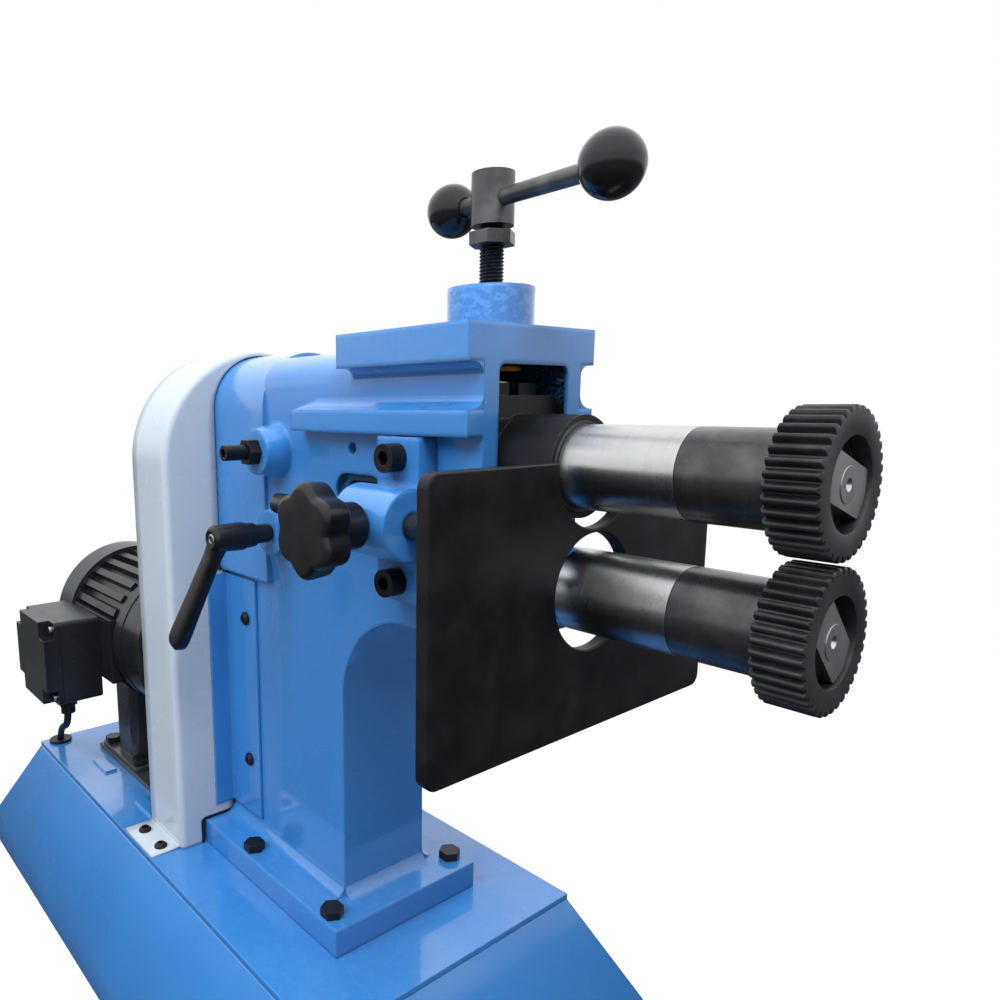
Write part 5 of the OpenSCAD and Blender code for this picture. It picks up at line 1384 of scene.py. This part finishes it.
class BEADROLLER_OT_stage(Piece):
    """Pale floor, soft lamps, white surroundings and the camera"""

    bl_idname = "bead_roller.stage"
    bl_label = "Stage"

    def execute(self, context):
        scene = context.scene
        scene.view_settings.view_transform = "Standard"
        self.camera(scene)
        self.floor()
        self.world(scene)
        for lamp in LAMPS:
            self.lamp(*lamp)
        return {"FINISHED"}

    def camera(self, scene):
        az, el, roll = (math.radians(a) for a in (CAMERA_AZIMUTH, CAMERA_DROP, CAMERA_ROLL))
        ahead = Vector((-math.sin(az) * math.cos(el), math.cos(az) * math.cos(el), -math.sin(el)))
        right = Vector((math.cos(az), math.sin(az), 0))
        up = right.cross(ahead)
        r2 = right * math.cos(roll) + up * math.sin(roll)
        u2 = up * math.cos(roll) - right * math.sin(roll)
        data = bpy.data.cameras.new("Camera")
        data.sensor_width = CAMERA_SENSOR
        data.lens = CAMERA_FOCAL * CAMERA_SENSOR
        data.shift_x = 0.5 - CAMERA_CENTRE[0]
        data.shift_y = CAMERA_CENTRE[1] - 0.5
        data.clip_start = 0.01
        cam = bpy.data.objects.new("Camera", data)
        scene.collection.objects.link(cam)
        columns = Matrix((r2, u2, -ahead)).transposed().to_4x4()
        columns.translation = Vector(CAMERA_PLACE)
        cam.matrix_world = columns
        scene.camera = cam

    def lamp(self, name, place, aim, size, power):
        data = bpy.data.lights.new(name, "AREA")
        data.shape = "DISK"
        data.size = size
        data.energy = power
        lamp = bpy.data.objects.new(name, data)
        bpy.context.scene.collection.objects.link(lamp)
        lamp.location = place
        lamp.visible_glossy = False
        lamp.rotation_euler = (Vector(aim) - Vector(place)).to_track_quat("-Z", "Y").to_euler()

    def floor(self):
        s = np.array([-FLOOR_HALF, FLOOR_HALF])
        x, y = np.meshgrid(s, s, indexing="ij")
        floor = put_grid("Floor", np.stack([x, y, np.full_like(x, CAD_BOX[0][2])], -1), outward=False)
        mat = bpy.data.materials.new("Pale floor")
        mat.use_nodes = True
        nodes = mat.node_tree.nodes
        nodes.clear()
        t = Tree(mat.node_tree)
        v = t.node("ShaderNodeTexCoord").outputs["Object"]
        flat = t.stretch(v, (1.0, 1.0, 0.0), (-0.4, 0.0, 0.0))
        away = t.node("ShaderNodeVectorMath", {0: flat}, operation="LENGTH").outputs["Value"]
        speck = t.noise(v, 30.0, 3.0, 0.5)
        tone = t.mix(speck, *FLOOR_TONES)
        path = t.node("ShaderNodeLightPath")
        tone = t.mix(path.outputs["Is Camera Ray"], FLOOR_BOUNCE, tone)
        diffuse = t.node("ShaderNodeBsdfDiffuse", {"Color": tone})
        glow = t.node("ShaderNodeEmission", {"Color": (1, 1, 1, 1), "Strength": 1.0})
        fade = t.ramp(away, *FLOOR_FADE)
        seen = t.math("MAXIMUM", path.outputs["Is Camera Ray"], path.outputs["Is Transmission Ray"])
        share = t.math("MULTIPLY", fade, seen)
        lit = t.node("ShaderNodeMixShader", {0: share, 1: diffuse.outputs[0], 2: glow.outputs[0]})
        mirror_tone = t.mix(fade, *FLOOR_MIRROR)
        mirrored = t.node("ShaderNodeEmission", {"Color": mirror_tone, "Strength": 1.0})
        glossy = path.outputs["Is Glossy Ray"]
        shader = t.node("ShaderNodeMixShader", {0: glossy, 1: lit.outputs[0], 2: mirrored.outputs[0]})
        out = t.node("ShaderNodeOutputMaterial")
        mat.node_tree.links.new(shader.outputs[0], out.inputs["Surface"])
        floor.data.materials.append(mat)

    def world(self, scene):
        world = bpy.data.worlds.new("Studio")
        world.use_nodes = True
        scene.world = world
        t = Tree(world.node_tree)
        background = world.node_tree.nodes["Background"]
        path = t.node("ShaderNodeLightPath")
        seen = t.math("MAXIMUM", path.outputs["Is Camera Ray"], path.outputs["Is Transmission Ray"])
        aim = t.node("ShaderNodeTexCoord").outputs["Generated"]
        z = t.node("ShaderNodeSeparateXYZ", {0: aim}).outputs["Z"]
        soft = t.mix(t.ramp(z, -0.05, 0.5), *SKY_SOFT)
        hall = t.mix(t.ramp(z, -0.08, 0.1), *HALL[:2])
        hall = t.mix(t.ramp(z, 0.32, 0.62), hall, HALL[2])
        sky = t.mix(path.outputs["Is Glossy Ray"], soft, hall)
        tone = t.mix(seen, sky, (1.0, 1.0, 1.0))
        world.node_tree.links.new(tone, background.inputs["Color"])
        background.inputs["Strength"].default_value = 1.0


# Panel and start

OPERATORS = (
    BEADROLLER_OT_stage,
    BEADROLLER_OT_lead,
    BEADROLLER_OT_base,
    BEADROLLER_OT_casting,
    BEADROLLER_OT_guard,
    BEADROLLER_OT_spindles,
    BEADROLLER_OT_rolls,
    BEADROLLER_OT_pressure,
    BEADROLLER_OT_gauge,
    BEADROLLER_OT_lever,
    BEADROLLER_OT_motor,
    BEADROLLER_OT_springs,
)


class BEADROLLER_PT_panel(bpy.types.Panel):
    """Lists the pieces of the bead roller with their colours and sizes"""

    bl_label = "Bead roller"
    bl_idname = "BEADROLLER_PT_panel"
    bl_space_type = "VIEW_3D"
    bl_region_type = "UI"
    bl_category = "Bead roller"

    def draw(self, context):
        layout = self.layout
        for group in (context.scene.bead_roller_colours, context.scene.bead_roller_sizes):
            box = layout.box()
            for key in group.__annotations__:
                box.prop(group, key)
        for operator in OPERATORS:
            layout.operator(operator.bl_idname)


CLASSES = (BeadRollerColours, BeadRollerSizes) + OPERATORS + (BEADROLLER_PT_panel,)


def register():
    for cls in CLASSES:
        bpy.utils.register_class(cls)
    bpy.types.Scene.bead_roller_colours = bpy.props.PointerProperty(type=BeadRollerColours)
    bpy.types.Scene.bead_roller_sizes = bpy.props.PointerProperty(type=BeadRollerSizes)


def unregister():
    del bpy.types.Scene.bead_roller_sizes
    del bpy.types.Scene.bead_roller_colours
    for cls in reversed(CLASSES):
        bpy.utils.unregister_class(cls)


def main():
    register()
    bpy.ops.bead_roller.stage()
    bpy.ops.bead_roller.lead()
    bpy.ops.bead_roller.base()
    bpy.ops.bead_roller.casting()
    bpy.ops.bead_roller.guard()
    bpy.ops.bead_roller.spindles()
    bpy.ops.bead_roller.rolls()
    bpy.ops.bead_roller.pressure()
    bpy.ops.bead_roller.gauge()
    bpy.ops.bead_roller.lever()
    bpy.ops.bead_roller.motor()
    bpy.ops.bead_roller.springs()


if __name__ == "__main__":
    main()
